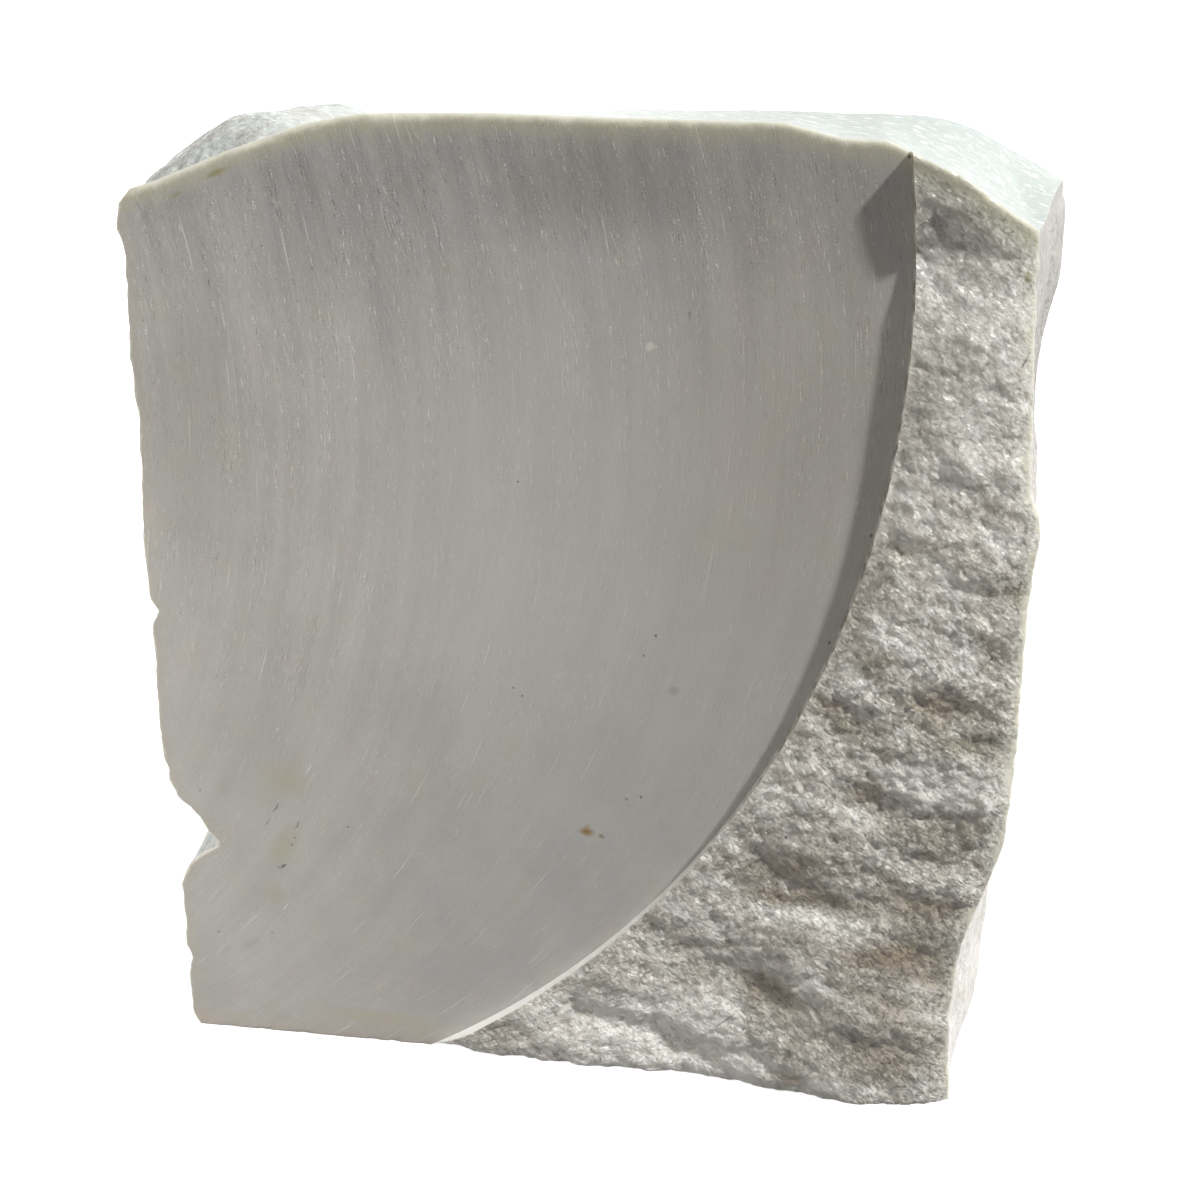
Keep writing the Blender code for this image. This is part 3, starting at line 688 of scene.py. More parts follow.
def block_surface(settings):
    """All points of the stone, and its triangles by region.

    The front's two sheets are zipped together at the kerf wall. Their outline runs back in close
    loops and then in coarser ones. A loop's places blend from the front's own edge to the split
    shape, and the last loop is zipped to the back sheet.
    """
    sawn, sawn_across, sawn_up = front_sheet(SAWN_CELLS, settings, False)
    broken, broken_across, broken_up = front_sheet(BROKEN_CELLS, settings, True)
    sawn_index = numbered(sawn.shape, 0)
    broken_index = numbered(broken.shape, sawn_index.size)
    places = np.concatenate((sawn.reshape(-1, 3), broken.reshape(-1, 3)))
    across = np.concatenate((sawn_across.ravel(), broken_across.ravel()))
    up = np.concatenate((np.repeat(sawn_up, sawn.shape[1]), np.repeat(broken_up, broken.shape[1])))
    regions = {
        "sawn": grid_faces(sawn_index),
        "kerf": zip_rows(sawn_index[:, -1], sawn_up, broken_index[:, 0], broken_up),
        "broken": grid_faces(broken_index),
    }

    # The outline runs along the base, up the right side, back along the top and down the left side.
    sides = (np.append(sawn_index[0], broken_index[0]), broken_index[:, -1],
             np.append(broken_index[-1, ::-1], sawn_index[-1, ::-1]), sawn_index[::-1, 0])
    loop = np.concatenate([side[:-1] for side in sides])
    starts = np.cumsum([0] + [len(side) - 1 for side in sides])
    picked = np.concatenate([evenly_picked(places[side], cells)[:-1] + start
                             for side, cells, start in zip(sides, LOOP_CELLS, starts)])
    loop_across, loop_up, loop_y = across[loop], up[loop], places[loop, 1]
    own_edge = places[loop] - split_shape(loop_across, loop_up, loop_y, loop_y)
    everyone = np.arange(len(loop))
    rows = [(everyone, loop_y + distance) for distance in FRONT_LOOPS]
    coarse_y = loop_y[picked] + FRONT_LOOPS[-1]
    rows += [(picked, coarse_y + (BACK_Y - coarse_y) * share) for share in LOOP_SHARES]

    points, split, total = [places], [], len(places)
    last_index, last_at = loop, everyone
    for members, y in rows:
        row = split_shape(loop_across[members], loop_up[members], loop_y[members], y)
        fade = np.exp(-(y - loop_y[members]) / OWN_EDGE_REACH)
        row += own_edge[members] * fade[:, None]
        row[:, 2] = np.maximum(row[:, 2], 0.0)
        index = np.arange(len(row)) + total
        split.append(zip_loops(last_index, last_at, index, members, len(loop)))
        points.append(row)
        total += len(row)
        last_index, last_at = index, members

    # The back sheet's rim is placed along the outline by its shares across and up, side by side.
    shares = [np.linspace(BACK_INSET, 1.0 - BACK_INSET, cells + 1) for cells in BACK_CELLS]
    back_across, back_up = np.meshgrid(*shares)
    back_y = np.full_like(back_across, BACK_Y)
    back = split_shape(back_across, back_up, np.full_like(back_y, SAWN_FACE_Y), back_y)
    back_index = numbered(back.shape, total)
    points.append(back.reshape(-1, 3))
    rim = np.concatenate((back_index[0, :-1], back_index[:-1, -1], back_index[-1, :0:-1],
                          back_index[:0:-1, 0]))
    rim_at = np.concatenate([
        start + np.interp(rim_shares, side_shares[side], np.arange(len(side)))
        for start, side, rim_shares, side_shares in zip(
            starts, sides,
            (shares[0][:-1], shares[1][:-1], -shares[0][:0:-1], -shares[1][:0:-1]),
            (across, up, -across, -up))])
    rim_at[0] = 0.0
    split.append(zip_loops(last_index, last_at, rim, rim_at, len(loop)))
    split.append(grid_faces(back_index)[:, ::-1])
    regions["split"] = np.concatenate(split)
    return np.concatenate(points), regions


def front_patterns(points):
    """Values that the finishes read: the saw's path, the depth of the hollows and the edges.

    The saw's path is how far along its feed the rim passed a place, and how far round the rim the
    place lies. The edges are the distances from the top, the left and the right edge, the last of
    them made uneven.
    """
    x, _, z = points.T
    climb = np.clip((z - SAW_PATH_Z) / SAW_PATH_RADIUS, -0.99, 0.99)
    feed = x - SAW_PATH_RADIUS * np.sqrt(1.0 - climb ** 2)
    path = np.stack((feed, SAW_PATH_RADIUS * np.arcsin(climb), np.zeros_like(x)), axis=-1)
    left, right = side_places(z, 0.0)
    edges = np.stack((top_height(x, 0.0) - z, x - left, uneven_right(x, z, right)), axis=-1)
    return path, hollow_depth(x, z) / FULL_HOLLOW, edges


def block_mesh(name, points, regions, materials):
    """One mesh from the points and the triangles, with a material for each region."""
    triangles = np.concatenate(list(regions.values())).astype(np.int32)
    mesh = bpy.data.meshes.new(name)
    mesh.vertices.add(len(points))
    mesh.vertices.foreach_set("co", points.ravel())
    mesh.loops.add(triangles.size)
    mesh.loops.foreach_set("vertex_index", triangles.ravel())
    mesh.polygons.add(len(triangles))
    mesh.polygons.foreach_set("loop_start", np.arange(0, triangles.size, 3))
    mesh.polygons.foreach_set("material_index", np.repeat(
        np.arange(len(regions)), [len(faces) for faces in regions.values()]))
    for region in regions:
        mesh.materials.append(materials[region])
    path, hollow, edges = front_patterns(points)
    for pattern, kind, key, values in (("hollow", 'FLOAT', "value", hollow),
                                       ("saw_path", 'FLOAT_VECTOR', "vector", path),
                                       ("edges", 'FLOAT_VECTOR', "vector", edges)):
        mesh.attributes.new(pattern, kind, 'POINT').data.foreach_set(key, values.ravel())
    mesh.update(calc_edges=True)
    mesh.validate()
    mesh.shade_smooth()
    mesh.set_sharp_from_angle(angle=SHARP_ANGLE)
    return mesh


def linear(hex_colour):
    """Linear red, green and blue from an sRGB hex colour."""
    values = [int(hex_colour[place:place + 2], 16) / 255 for place in (1, 3, 5)]
    return tuple(value / 12.92 if value <= 0.04045 else ((value + 0.055) / 1.055) ** 2.4
                 for value in values)


class Finish:
    """A finish while it is made: its material, its shader, its places and its colour so far."""

    def __init__(self, name, colour, **values):
        """Start marble from its own colour. The values are for the shader's sockets, with _ for
        the spaces in their names."""
        self.material = bpy.data.materials.new(name)
        self.material.use_nodes = True
        self.tree = self.material.node_tree
        self.shader = self.tree.nodes["Principled BSDF"]
        stone = {"Roughness": 0.55, "IOR": 1.49, "Subsurface_Weight": 0.6,
                 "Subsurface_Radius": (1.0, 0.97, 0.80), "Subsurface_Scale": 0.0040}
        for socket, value in {**stone, **values}.items():
            self.shader.inputs[socket.replace("_", " ")].default_value = value
        self.colour = (*colour, 1.0)
        self.places = self.add("TexCoord", output="Object")
        self.x, self.y, self.z = self.add("SeparateXYZ", {0: self.places}).node.outputs

    def add(self, kind, inputs=None, output=0, **settings):
        """Add a node with its settings and links, and give one of its outputs.

        A socket given as an input is linked, and anything else is the input's value.
        """
        node = self.tree.nodes.new("ShaderNode" + kind)
        for name, value in settings.items():
            setattr(node, name, value)
        for name, value in (inputs or {}).items():
            if isinstance(value, bpy.types.NodeSocket):
                self.tree.links.new(value, node.inputs[name])
            else:
                node.inputs[name].default_value = value
        return node.outputs[output]

    def mask(self, most, *ramps, least=0.0, curve='LINEAR'):
        """A strength scaled by ramps, one after another: a socket, where it starts and is full."""
        for value, start, full in ramps:
            most = self.add("MapRange", {"Value": value, "From Min": start, "From Max": full,
                                         "To Min": least, "To Max": most}, interpolation_type=curve)
        return most

    def paint(self, *layers, curve='LINEAR'):
        """Lay hex colours over the colour so far, each with a strength and the ramps of its mask."""
        for shade, strength, *ramps in layers:
            mask = self.mask(strength, *ramps, curve=curve)
            self.colour = self.add("Mix", {0: mask, 6: self.colour, 7: (*linear(shade), 1.0)}, 2,
                                   data_type='RGBA')

    def paint_spots(self, spots, noise, wander):
        """Paint small spots.

        A spot is a centre x and z, two radii, a turn in degrees, a hex colour and a strength. Its
        mask falls from the centre of a turned ellipse to its edge, which noise makes uneven by a
        distance.
        """
        wander = self.add("Mapping", {"Vector": noise, "Location": (-wander / 2,) * 3,
                                      "Scale": (wander,) * 3})
        moved = self.add("VectorMath", {0: self.places, 1: wander}, operation='ADD')
        for *sizes, turn, shade, strength in spots:
            x, z, length, width = metres(sizes)
            local = self.add("Mapping", {
                "Vector": moved, "Location": (x, 0.0, z), "Scale": (length, 1.0e3, width),
                "Rotation": (0.0, -math.radians(turn), 0.0)}, vector_type='TEXTURE')
            away = self.add("VectorMath", {0: local}, "Value", operation='LENGTH')
            self.paint((shade, strength, (away, 1.1, 0.15)), curve='SMOOTHSTEP')

    def crystals(self, places, size, depth, normal=None):
        """Flat crystal faces as a bump: each cell of a pattern of crystals tilts its own way.

        The height is the offset from the cell's centre along a random slope. It gives the new
        normal and a random colour for each crystal.
        """
        shade = self.add("TexVoronoi", {"Vector": places, "Scale": 1 / size}, "Color")
        offset = self.add("VectorMath", {0: places, 1: (1 / size,) * 3}, operation='MULTIPLY')
        offset = self.add("VectorMath", {0: offset, 1: shade.node.outputs["Position"]},
                          operation='SUBTRACT')
        tilt = self.add("VectorMath", {0: shade, 1: (0.5,) * 3}, operation='SUBTRACT')
        height = self.add("VectorMath", {0: offset, 1: tilt}, "Value", operation='DOT_PRODUCT')
        inputs = {"Height": height, "Distance": depth}
        if normal is not None:
            inputs["Normal"] = normal
        return self.add("Bump", inputs), shade

    def done(self, normal=None):
        """Link the colour and the normal to the shader, and give the material."""
        for name, value in (("Base Color", self.colour), ("Normal", normal)):
            if value is not None:
                self.tree.links.new(value, self.shader.inputs[name])
        return self.material


def sawn_marble(settings):
    """Sawn marble, cut by a diamond blade and left unpolished.

    It is matt and fine-grained. The blade left tracks of short light and dark dashes, soft streaks
    and a few long white scratches. The stone has cloudy grey, greenish and rosy areas and small
    rust-brown stains. Painted shade darkens it near the top and in some spots, and painted glow
    shows where light shines through its top edge.
    """
    stone = Finish("sawn_marble", settings.marble_colour)
    path, edges = (stone.add("Attribute", output="Vector", attribute_name=name)
                   for name in ("saw_path", "edges"))
    from_top, from_left, _ = stone.add("SeparateXYZ", {0: edges}).node.outputs

    # Grey clouds 30 mm across, tints 14 mm across, grain of 0.5 mm, and a wander of 2.5 mm.
    clouds, tints, grain, wander = (
        stone.add("TexNoise", {"Vector": stone.places, "Scale": 1 / size, "Detail": detail,
                               "Roughness": roughness}, output)
        for size, detail, roughness, output in (
            (0.030, 4.0, 0.6, 0), (0.014, 3.0, 0.6, 0), (0.0005, 1.0, 0.5, 0), (0.0025, 4.0, 0.5, 1)))
    cloudy = stone.mask(1.0, (clouds, 0.40, 0.64))
    stone.colour = stone.add("Mix", {0: cloudy, 6: stone.colour, 7: (*settings.cloud_colour, 1.0)},
                             2, data_type='RGBA')
    stone.paint(("#b4afa8", 0.55, (tints, 0.52, 0.68)), ("#b2b5a9", 0.55, (tints, 0.48, 0.32)))

    # Patterns along the blade's path, by their width and length: soft streaks, tracks, the dashes
    # in them, one saw mark wide, and long scratches.
    patterns = []
    for width, length, detail in (
            (0.0065, 0.070, 2.0), (0.0022, 0.040, 2.0), (0.0011, 0.030, 1.0),
            (settings.saw_mark_spacing, 0.0032, 1.0), (0.0009, 0.030, 1.0)):
        stretched = stone.add("VectorMath", {0: path, 1: (1 / width, 1 / length, 0.0)},
                              operation='MULTIPLY')
        patterns.append(stone.add("TexNoise", {
            "Vector": stretched, "Scale": 1.0, "Detail": detail, "Roughness": 0.55}))
    broad, narrow, tracks, dashes, long_marks = patterns
    high = stone.mask(1.0, (stone.z, 0.08, 0.21), least=0.35)
    streaks = stone.add("Math", {0: narrow, 1: 0.5, 2: broad}, operation='MULTIPLY_ADD')
    streaks = stone.mask(0.16, (streaks, 0.45, 1.05), least=-0.16)
    tracked = stone.mask(1.0, (tracks, 0.52, 0.64), least=0.25)
    streaks, tracked = (stone.add("Math", {0: value, 1: high}, operation='MULTIPLY')
                        for value in (streaks, tracked))
    chatter = stone.add("Math", {0: grain, 1: 0.6, 2: dashes}, operation='MULTIPLY_ADD')
    bright = stone.mask(0.60, (chatter, 0.89, 1.03))
    dark = stone.mask(0.36, (chatter, 0.71, 0.57))
    chatter = stone.add("Math", {0: bright, 1: dark}, operation='SUBTRACT')
    chatter = stone.add("Math", {0: chatter, 1: tracked}, operation='MULTIPLY')

    # The tone is the chatter, the streaks and the grain, and painted shade darkens it near the top.
    tone = chatter
    for part in (streaks, stone.mask(0.09, (grain, 0.0, 1.0), least=-0.09),
                 stone.mask(0.82, (stone.z, 0.216, 0.246), least=1.0)):
        tone = stone.add("Math", {0: tone, 1: part}, operation='ADD')
    stone.colour = stone.add("VectorMath", {0: stone.colour, 1: tone}, operation='MULTIPLY')
    worn = stone.mask(0.07, (stone.z, 0.06, 0.0))
    long_marks = stone.add("Math", {0: long_marks, 1: worn}, operation='ADD')
    scratches = stone.mask(0.5, (long_marks, 0.70, 0.76))
    stone.paint(("#e8e8e4", scratches))

    # Painted glow: light from the top is shown as olive 6 mm down and cream at the arris. The left
    # edge and the foot are browned. Each band has its reach, and the width of its uneven limit.
    uneven = stone.add("SeparateColor", {0: wander}, 1)
    for edge, reach, width, strength, shade in (
            (from_top, 0.0075, 0.0030, 0.75, "#c0bda4"), (from_top, 0.0026, 0.0024, 0.85, "#e4e4da"),
            (from_left, 0.0050, 0.0080, 0.40, "#b0a695"), (from_left, 0.0008, 0.0024, 0.6, "#dcdacf"),
            (stone.z, 0.0080, 0.0120, 0.50, "#b5a89b"), (stone.z, 0.0004, 0.0016, 0.5, "#cfc8c4")):
        far = stone.add("Math", {0: uneven, 1: width, 2: edge}, operation='MULTIPLY_ADD')
        stone.paint((shade, strength, (far, reach + width / 2, width / 2)), curve='SMOOTHSTEP')
    # The spots hold painted shade under the top edge and broad patches of partly painted light and shade.
    stone.paint_spots(SAWN_SPOTS, wander, 0.0016)
    relief = stone.add("Math", {0: scratches, 1: 1.0, 2: chatter}, operation='MULTIPLY_ADD')
    return stone.done(stone.add("Bump", {"Height": relief, "Distance": settings.saw_mark_depth}))


def kerf_marble():
    """The narrow wall that the blade's rim left: matt, with patchy painted shade in olive and brown
    higher up, where the wall faces away from the light, and pale near the foot, where light falls on it."""
    stone = Finish("kerf_marble", linear("#f3f3f0"))
    # Painted shade, patchy, on the wall higher up where it faces away from the light.
    wall_shade = stone.add("TexNoise", {"Vector": stone.places, "Scale": 1 / 0.0030, "Detail": 3.0})
    wall_shade = stone.mask(1.0, (wall_shade, 0.38, 0.62), least=0.5)
    stone.paint(("#6e6650", wall_shade, (stone.z, 0.05, 0.11)))
    return stone.done()


def broken_marble(settings):
    """Broken marble, split by a blow and never dressed.

    The break runs round and through sugary calcite crystals, so it sparkles from small flat faces
    and is bruised white on its ridges. Its hollows are browner, partly dusty and partly painted
    shade. Painted shade also darkens it low down, and painted glints, light on lumps and glow at
    its rims stand for light.
    """
    stone = Finish("broken_marble", settings.broken_colour, Roughness=0.32,
                   Subsurface_Scale=0.0022, Coat_Weight=0.3, Coat_Roughness=0.12)
    hollow = stone.add("Attribute", output="Fac", attribute_name="hollow")
    edges = stone.add("Attribute", output="Vector", attribute_name="edges")
    from_top, _, from_right = stone.add("SeparateXYZ", {0: edges}).node.outputs
    ribs = stone.add("Mapping", {
        "Vector": stone.places, "Rotation": (0.0, math.radians(-GRAIN_TILT), 0.0),
        "Scale": (2.0, 1.0, 1.0)}, vector_type='TEXTURE')

    # Bruised white patches 9 mm across, clearer grey ones 14 mm across, dusty patches in painted shade
    # 4 mm across in the hollows, a wobble of 2 mm and a sugary tooth of 0.7 mm.
    white, clear, dust_and_shade, wobble, tooth = (
        stone.add("TexNoise", {"Vector": places, "Scale": 1 / size, "Detail": detail,
                               "Roughness": roughness}, output)
        for places, size, detail, roughness, output in (
            (ribs, 0.009, 4.0, 0.6, 0), (ribs, 0.014, 3.0, 0.5, 1), (stone.places, 0.004, 3.0, 0.5, 0),
            (stone.places, 0.002, 2.0, 0.5, 1), (ribs, 0.0007, 2.0, 0.6, 0)))
    white = stone.mask(1.0, (white, 0.5, 0.68))
    clear = stone.add("SeparateColor", {0: clear}, 1)
    # Hollows are browner, partly dusty and partly painted shade.
    dust_and_shade = stone.add("Math", {0: dust_and_shade, 1: hollow}, operation='MULTIPLY')
    stone.paint(("#aca698", 1.0, (clear, 0.48, 0.7)), ("#eff0ed", white),
                ("#968970", 0.6, (dust_and_shade, 0.08, 0.6)))

    # Painted shade makes the stone darker low down, and higher up its crystals are melted together and
    # paler.
    low = stone.mask(0.83, (stone.z, 0.16, 0.08), least=1.0)
    stone.colour = stone.add("VectorMath", {0: stone.colour, 1: low}, operation='MULTIPLY')
    melted = stone.mask(0.45, (stone.z, 0.13, 0.19))
    stone.paint(("#f1f2ee", melted))

    # Crystal faces of 1.5 mm, 0.7 mm and 0.4 mm, each with its own shade, and the tooth on them.
    bent = stone.add("VectorMath", {0: wobble, 1: (0.0010,) * 3, 2: ribs}, operation='MULTIPLY_ADD')
    normal, shade = stone.crystals(bent, 0.0015, 0.0006)
    normal, glints = stone.crystals(bent, 0.0007, 0.00052, normal)
    normal, _ = stone.crystals(bent, 0.0004, 0.00034, normal)
    normal = stone.add("Bump", {"Height": tooth, "Distance": 0.00040, "Normal": normal})
    shade, glints = (stone.add("SeparateColor", {0: colour}) for colour in (shade, glints))
    shade = stone.add("Math", {0: shade, 1: glints}, operation='ADD')
    shade = stone.mask(1.15, (shade, 0.0, 2.0), least=0.76)
    stone.colour = stone.add("VectorMath", {0: stone.colour, 1: shade}, operation='MULTIPLY')
    # Painted glints: white flecks on crystals away from the hollows. Darker flecks gather in the hollows,
    # partly painted shade.
    stone.paint(("#fdfdfa", 0.60, (glints, 0.80, 0.90), (hollow, 0.45, 0.15)),
                ("#857c6b", 0.45, (glints, 0.22, 0.10), (hollow, 0.15, 0.55)))

    # The rims at the top and the right are rubbed smooth, and painted glow stands for light that
    # shines through them: an olive band under the top, a pale rim at the right and cream at the arris.
    bruised = stone.add("Math", {0: white, 1: -0.0020, 2: from_right}, operation='MULTIPLY_ADD')
    top_lip, right_lip = (stone.mask(1.0, ramp, curve='SMOOTHSTEP') for ramp in (
        (from_top, 0.0090, 0.0012), (from_right, 0.0024, 0.0002)))
    bright = stone.mask(1.0, (from_top, 0.0018, 0.0006))
    lip, bright = (stone.add("Math", {0: value, 1: right_lip}, operation='MAXIMUM')
                   for value in (top_lip, bright))
    stone.paint(("#e9e8e0", 0.6, (bruised, 0.0052, 0.0012)), curve='SMOOTHSTEP')
    stone.paint(("#b8b7a3", top_lip), ("#dddccf", bright))
    # The spots hold painted shade along the arc, under the ledge, low down and in the hollows, and
    # painted light on lumps.
    stone.paint_spots(BROKEN_SPOTS, wobble, 0.0006)
    rubbed = stone.add("Math", {0: stone.mask(0.7, (lip, 0.0, 1.0)), 1: melted}, operation='MAXIMUM')
    smooth = stone.add("NewGeometry", output="Normal")
    return stone.done(stone.add("Mix", {0: rubbed, 4: normal, 5: smooth}, 1, data_type='VECTOR'))


def weathered_marble():
    """Weathered marble: an old split skin, washed smooth on top and pitted on the sides.

    It is pale and even, slightly cool where rain has washed it, and grey where grime lies in the
    pits.
    """
    stone = Finish("weathered_marble", linear("#efedea"), Roughness=0.6)
    upward = stone.add("SeparateXYZ", {0: stone.add("NewGeometry", output="Normal")}, 2)
    tilted = stone.add("Mapping", {
        "Vector": stone.places, "Rotation": (0.0, 0.0, math.radians(-50)),
        "Scale": (3.0, 1.0, 1.0)}, vector_type='TEXTURE')

    # Stains 30 mm across, flat white crystals of 2 mm by 6 mm, lumps of 5 mm, pits of 1.6 mm and
    # areas of them 22 mm across.
    stain, flakes, rough, pits, areas = (
        stone.add("TexNoise", {"Vector": places, "Scale": 1 / size, "Detail": detail,
                               "Roughness": roughness})
        for places, size, detail, roughness in (
            (stone.places, 0.030, 4.0, 0.6), (tilted, 0.0020, 2.0, 0.6), (stone.places, 0.005, 5.0, 0.6),
            (stone.places, 0.0016, 3.0, 0.65), (stone.places, 0.022, 4.0, 0.65)))
    washed, dry = (upward, 0.25, 0.75), (upward, 0.75, 0.25)
    right, above, below = (stone.x, 0.090, 0.102), (stone.z, 0.160, 0.190), (stone.z, 0.226, 0.214)
    shoulder = stone.mask(1.0, (stone.x, *SHOULDER_END), (stone.z, 0.195, 0.240))
    crumbly = stone.mask(1.0, below, above, right)
    areas = stone.add("Math", {0: stone.mask(0.7, (areas, 0.42, 0.80)), 1: crumbly},
                      operation='MAXIMUM')

    # The top is washed, with a cooler band along its back edge, and the right side is dull higher
    # up. The left shoulder kept its rough skin, and the dry sides have grime in their pits.
    stone.paint(("#d2cec8", 1.0, (stain, 0.45, 0.7)), ("#ccd5d4", 1.0, washed),
                ("#fafcfb", 0.75, (flakes, 0.56, 0.64), washed),
                ("#c2d0d5", 0.6, (stone.y, 0.026, 0.044), washed),
                ("#b4b2af", 0.75, above, right, dry),
                ("#b9b8b6", 0.8, (rough, 0.42, 0.58), (shoulder, 0.0, 1.0)),
                ("#8f8b87", areas, (pits, 0.52, 0.40), dry))

    # The pits are shallow where the stone is washed, and the lumps stand on the shoulder and sides.
    relief = stone.add("Math", {0: pits, 1: stone.mask(0.25, washed, least=1.0)},
                       operation='MULTIPLY')
    normal = stone.add("Bump", {"Height": relief, "Distance": 0.0007})
    split = stone.add("Math", {0: stone.mask(0.4, dry), 1: shoulder}, operation='ADD')
    lumpy = stone.add("Math", {0: rough, 1: split}, operation='MULTIPLY')
    normal = stone.add("Bump", {"Height": lumpy, "Distance": 0.0030, "Normal": normal})
    normal, shade = stone.crystals(stone.places, 0.0022, 0.0005, normal)
    shade = stone.mask(1.07, (stone.add("SeparateColor", {0: shade}), 0.0, 1.0), least=0.93)
    stone.colour = stone.add("VectorMath", {0: stone.colour, 1: shade}, operation='MULTIPLY')
    return stone.done(normal)


def length_setting(name, description, default, least=0.0):
    """A length that the user may change."""
    return bpy.props.FloatProperty(name=name, description=description, default=default,
                                   min=least, max=0.02, precision=5, unit='LENGTH')


def colour_setting(name, description, default):
    """A colour that the user may change, from a hex colour."""
    return bpy.props.FloatVectorProperty(name=name, description=description, subtype='COLOR',
                                         size=3, default=linear(default), min=0.0, max=1.0)


def power_setting(name, description, default):
    """A lamp's power that the user may change."""
    return bpy.props.FloatProperty(name=name, description=description, default=default, min=0.0,
                                   unit='POWER')


class MarbleBlockSettings(bpy.types.PropertyGroup):
    """Sizes and colours of the stone."""

    arris_radius: length_setting(
        "Arris radius", "How far the sawn face's edges are worn round", 0.0006, 0.0001)
    rib_height: length_setting("Rib height", "Height of the ribs on the fracture", 0.00034)
    crystal_size: length_setting(
        "Crystal size", "Width of the fracture's larger crystals", 0.0021, 0.001)
    saw_mark_spacing: length_setting(
        "Saw mark spacing", "Distance between the marks of the blade", 0.00045, 0.0001)
    saw_mark_depth: length_setting("Saw mark depth", "Depth of the marks of the blade", 0.00016)
    marble_colour: colour_setting("Marble", "Colour of the sawn marble", "#b4b4b2")
    cloud_colour: colour_setting(
        "Clouds", "Colour of the grey clouds in the sawn marble", "#ababaa")
    broken_colour: colour_setting("Broken marble", "Colour of the fracture", "#e6e2da")


class StudioSettings(bpy.types.PropertyGroup):
    """Strengths of the studio's lights."""

    key_strength: bpy.props.FloatProperty(
        name="Key", description="Irradiance of the key light", default=4.5, min=0.0)
    key_size: bpy.props.FloatProperty(
        name="Key size", description="Angle that the key light fills", default=math.radians(4.0),
        min=0.0, max=1.0, subtype='ANGLE', unit='ROTATION')
    fill_power: power_setting("Fill", "Power of the soft light from the left", 1.5)
    bounce_power: power_setting("Bounce", "Power of the low light near the foot", 1.0)
    rear_power: power_setting("Rear", "Power of the soft light behind the block", 14.0)
    ambient: bpy.props.FloatProperty(
        name="Ambient", description="Strength of the light from all round", default=0.05, min=0.0)


class MARBLE_OT_block(bpy.types.Operator):
    """Build the marble block in place of its solid"""

    bl_idname = "marble.block"
    bl_label = "Marble block"

    def execute(self, context):
        settings = context.scene.marble_block
        materials = {"sawn": sawn_marble(settings), "kerf": kerf_marble(),
                     "broken": broken_marble(settings), "split": weathered_marble()}
        points, regions = block_surface(settings)
        mesh = block_mesh("dressed_marble", points, regions, materials)
        block = bpy.data.objects.new("dressed_marble", mesh)
        context.scene.collection.objects.link(block)
        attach(block, "root")
        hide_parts("marble_block")
        return {'FINISHED'}


class MARBLE_OT_studio(bpy.types.Operator):
    """Set the floor, the lights and the camera"""

    bl_idname = "marble.studio"
    bl_label = "Studio"

    def execute(self, context):
        settings = context.scene.marble_studio
        studio_floor(context)
        studio_lights(context, settings)
        context.scene.camera = studio_camera(context)
        return {'FINISHED'}


def link_object(context, name, data, location=(0.0, 0.0, 0.0), towards=None):
    """Add an object to the scene, turned so that its -Z looks towards a place."""
    item = bpy.data.objects.new(name, data)
    item.location = location
    if towards is not None:
        look = Vector(towards) - Vector(location)
        item.rotation_euler = look.to_track_quat('-Z', 'Y').to_euler()
    context.scene.collection.objects.link(item)
    return item


def studio_floor(context):
    """A plain pale floor.

    Rings round the block: flat out to a radius, then rising with the square of the distance past
    it, so that pale paper also lies behind the block.
    """
    material = bpy.data.materials.new("white_paper")
    material.use_nodes = True
    shader = material.node_tree.nodes["Principled BSDF"]
    shader.inputs["Base Color"].default_value = (*linear("#b4b4b4"), 1.0)
    shader.inputs["Roughness"].default_value = 0.9
    shader.inputs["Emission Color"].default_value = (1.0, 1.0, 1.0, 1.0)
    shader.inputs["Emission Strength"].default_value = 0.9
    radius, turn = np.meshgrid(np.linspace(0.0, FLOOR_RADIUS, 41)[1:],
                               np.linspace(0.0, math.tau, 97)[:-1])
    rise = FLOOR_RISE * (np.maximum(radius - FLOOR_FLAT, 0.0) / (FLOOR_RADIUS - FLOOR_FLAT)) ** 2
    rings = np.stack((radius * np.cos(turn), radius * np.sin(turn), rise), axis=-1)
    index = np.append(numbered(rings.shape, 1), numbered(rings.shape, 1)[:1], axis=0)
    fan = np.stack((np.zeros_like(index[:-1, 0]), index[:-1, 0], index[1:, 0]), axis=1)
    points = np.concatenate((np.zeros((1, 3)), rings.reshape(-1, 3)))
    mesh = bpy.data.meshes.new("floor")
    mesh.from_pydata(points, [], np.concatenate((fan, grid_faces(index))).tolist())
    mesh.materials.append(material)
    mesh.shade_smooth()
    floor = link_object(context, "floor", mesh)
    floor.visible_diffuse = False
    return floor


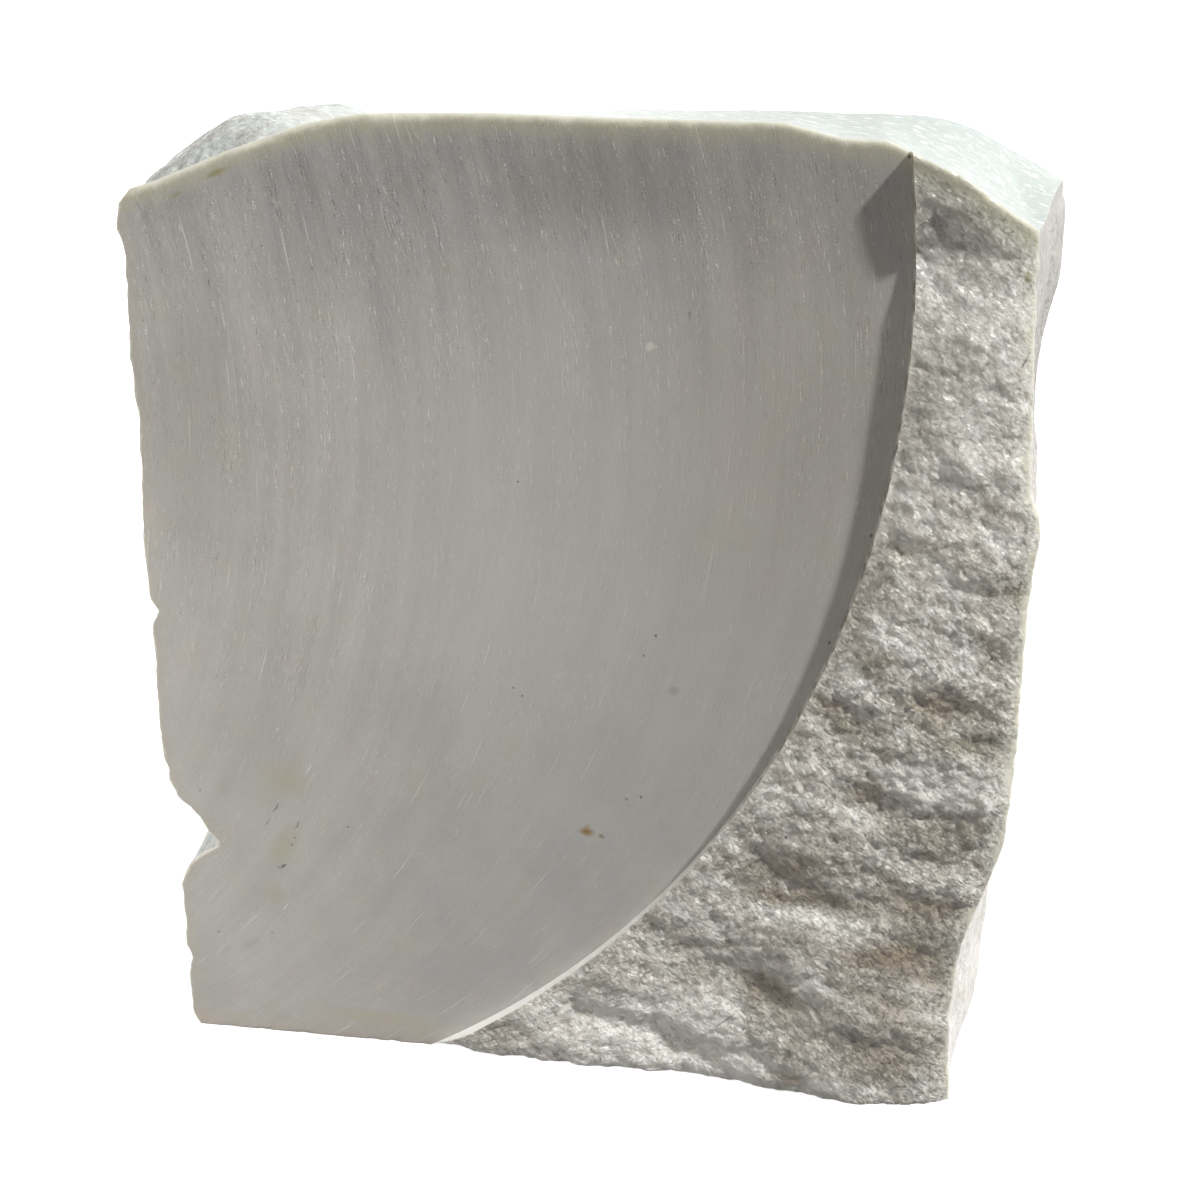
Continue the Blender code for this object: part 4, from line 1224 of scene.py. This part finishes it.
def studio_lights(context, settings):
    """A key light that grazes the sawn face, soft lights at the left and behind, and a pale room."""
    key = bpy.data.lights.new("key", 'SUN')
    key.energy, key.angle, key.color = settings.key_strength, settings.key_size, linear("#fffdf9")
    link_object(context, "key", key, KEY_DIRECTION, (0.0, 0.0, 0.0))
    for name, power, size, place, towards in (
            ("fill", settings.fill_power, 0.6, (-0.70, -0.60, 0.25), (-0.05, 0.00, 0.10)),
            ("bounce", settings.bounce_power, 0.25, (-0.36, -0.26, 0.03), (-0.05, -0.04, 0.05)),
            ("rear", settings.rear_power, 1.0, (-0.60, 1.50, 0.40), (0.0, 0.0, 0.13))):
        soft = bpy.data.lights.new(name, 'AREA')
        soft.shape, soft.size, soft.energy, soft.color = 'SQUARE', size, power, linear("#fffaf4")
        link_object(context, name, soft, place, towards)
    world = bpy.data.worlds.new("pale_room")
    world.use_nodes = True
    background = world.node_tree.nodes["Background"]
    background.inputs["Color"].default_value = (*linear("#fff8f0"), 1.0)
    background.inputs["Strength"].default_value = settings.ambient
    context.scene.world = world


def studio_camera(context):
    """The camera, a little right of the block and looking slightly down at it."""
    data = bpy.data.cameras.new("camera")
    data.lens, data.sensor_width, data.clip_start = CAMERA_LENS, 36.0, 0.01
    place = Vector(CAMERA_PLACE)
    return link_object(context, "camera", data, place, place + Vector(CAMERA_LOOK))


class MARBLE_PT_sidebar(bpy.types.Panel):
    """The marble block's panel"""

    bl_idname = "MARBLE_PT_sidebar"
    bl_label = "Marble block"
    bl_space_type = 'VIEW_3D'
    bl_region_type = 'UI'
    bl_category = "Marble block"

    def draw(self, context):
        for operator, settings in ((MARBLE_OT_block, context.scene.marble_block),
                                   (MARBLE_OT_studio, context.scene.marble_studio)):
            column = self.layout.column()
            for name in settings.__annotations__:
                column.prop(settings, name)
            column.operator(operator.bl_idname)


CLASSES = (MarbleBlockSettings, StudioSettings, MARBLE_OT_block, MARBLE_OT_studio, MARBLE_PT_sidebar)


def register():
    """Register the classes and hang the settings on the scene."""
    for item in CLASSES:
        bpy.utils.register_class(item)
    bpy.types.Scene.marble_block = bpy.props.PointerProperty(type=MarbleBlockSettings)
    bpy.types.Scene.marble_studio = bpy.props.PointerProperty(type=StudioSettings)


def unregister():
    """Take the settings off the scene and unregister the classes."""
    del bpy.types.Scene.marble_studio
    del bpy.types.Scene.marble_block
    for item in reversed(CLASSES):
        bpy.utils.unregister_class(item)


def main():
    """Build the block and the studio."""
    register()
    bpy.ops.marble.block()
    bpy.ops.marble.studio()
    bpy.context.scene.view_settings.view_transform = 'Standard'


if __name__ == "__main__":
    main()
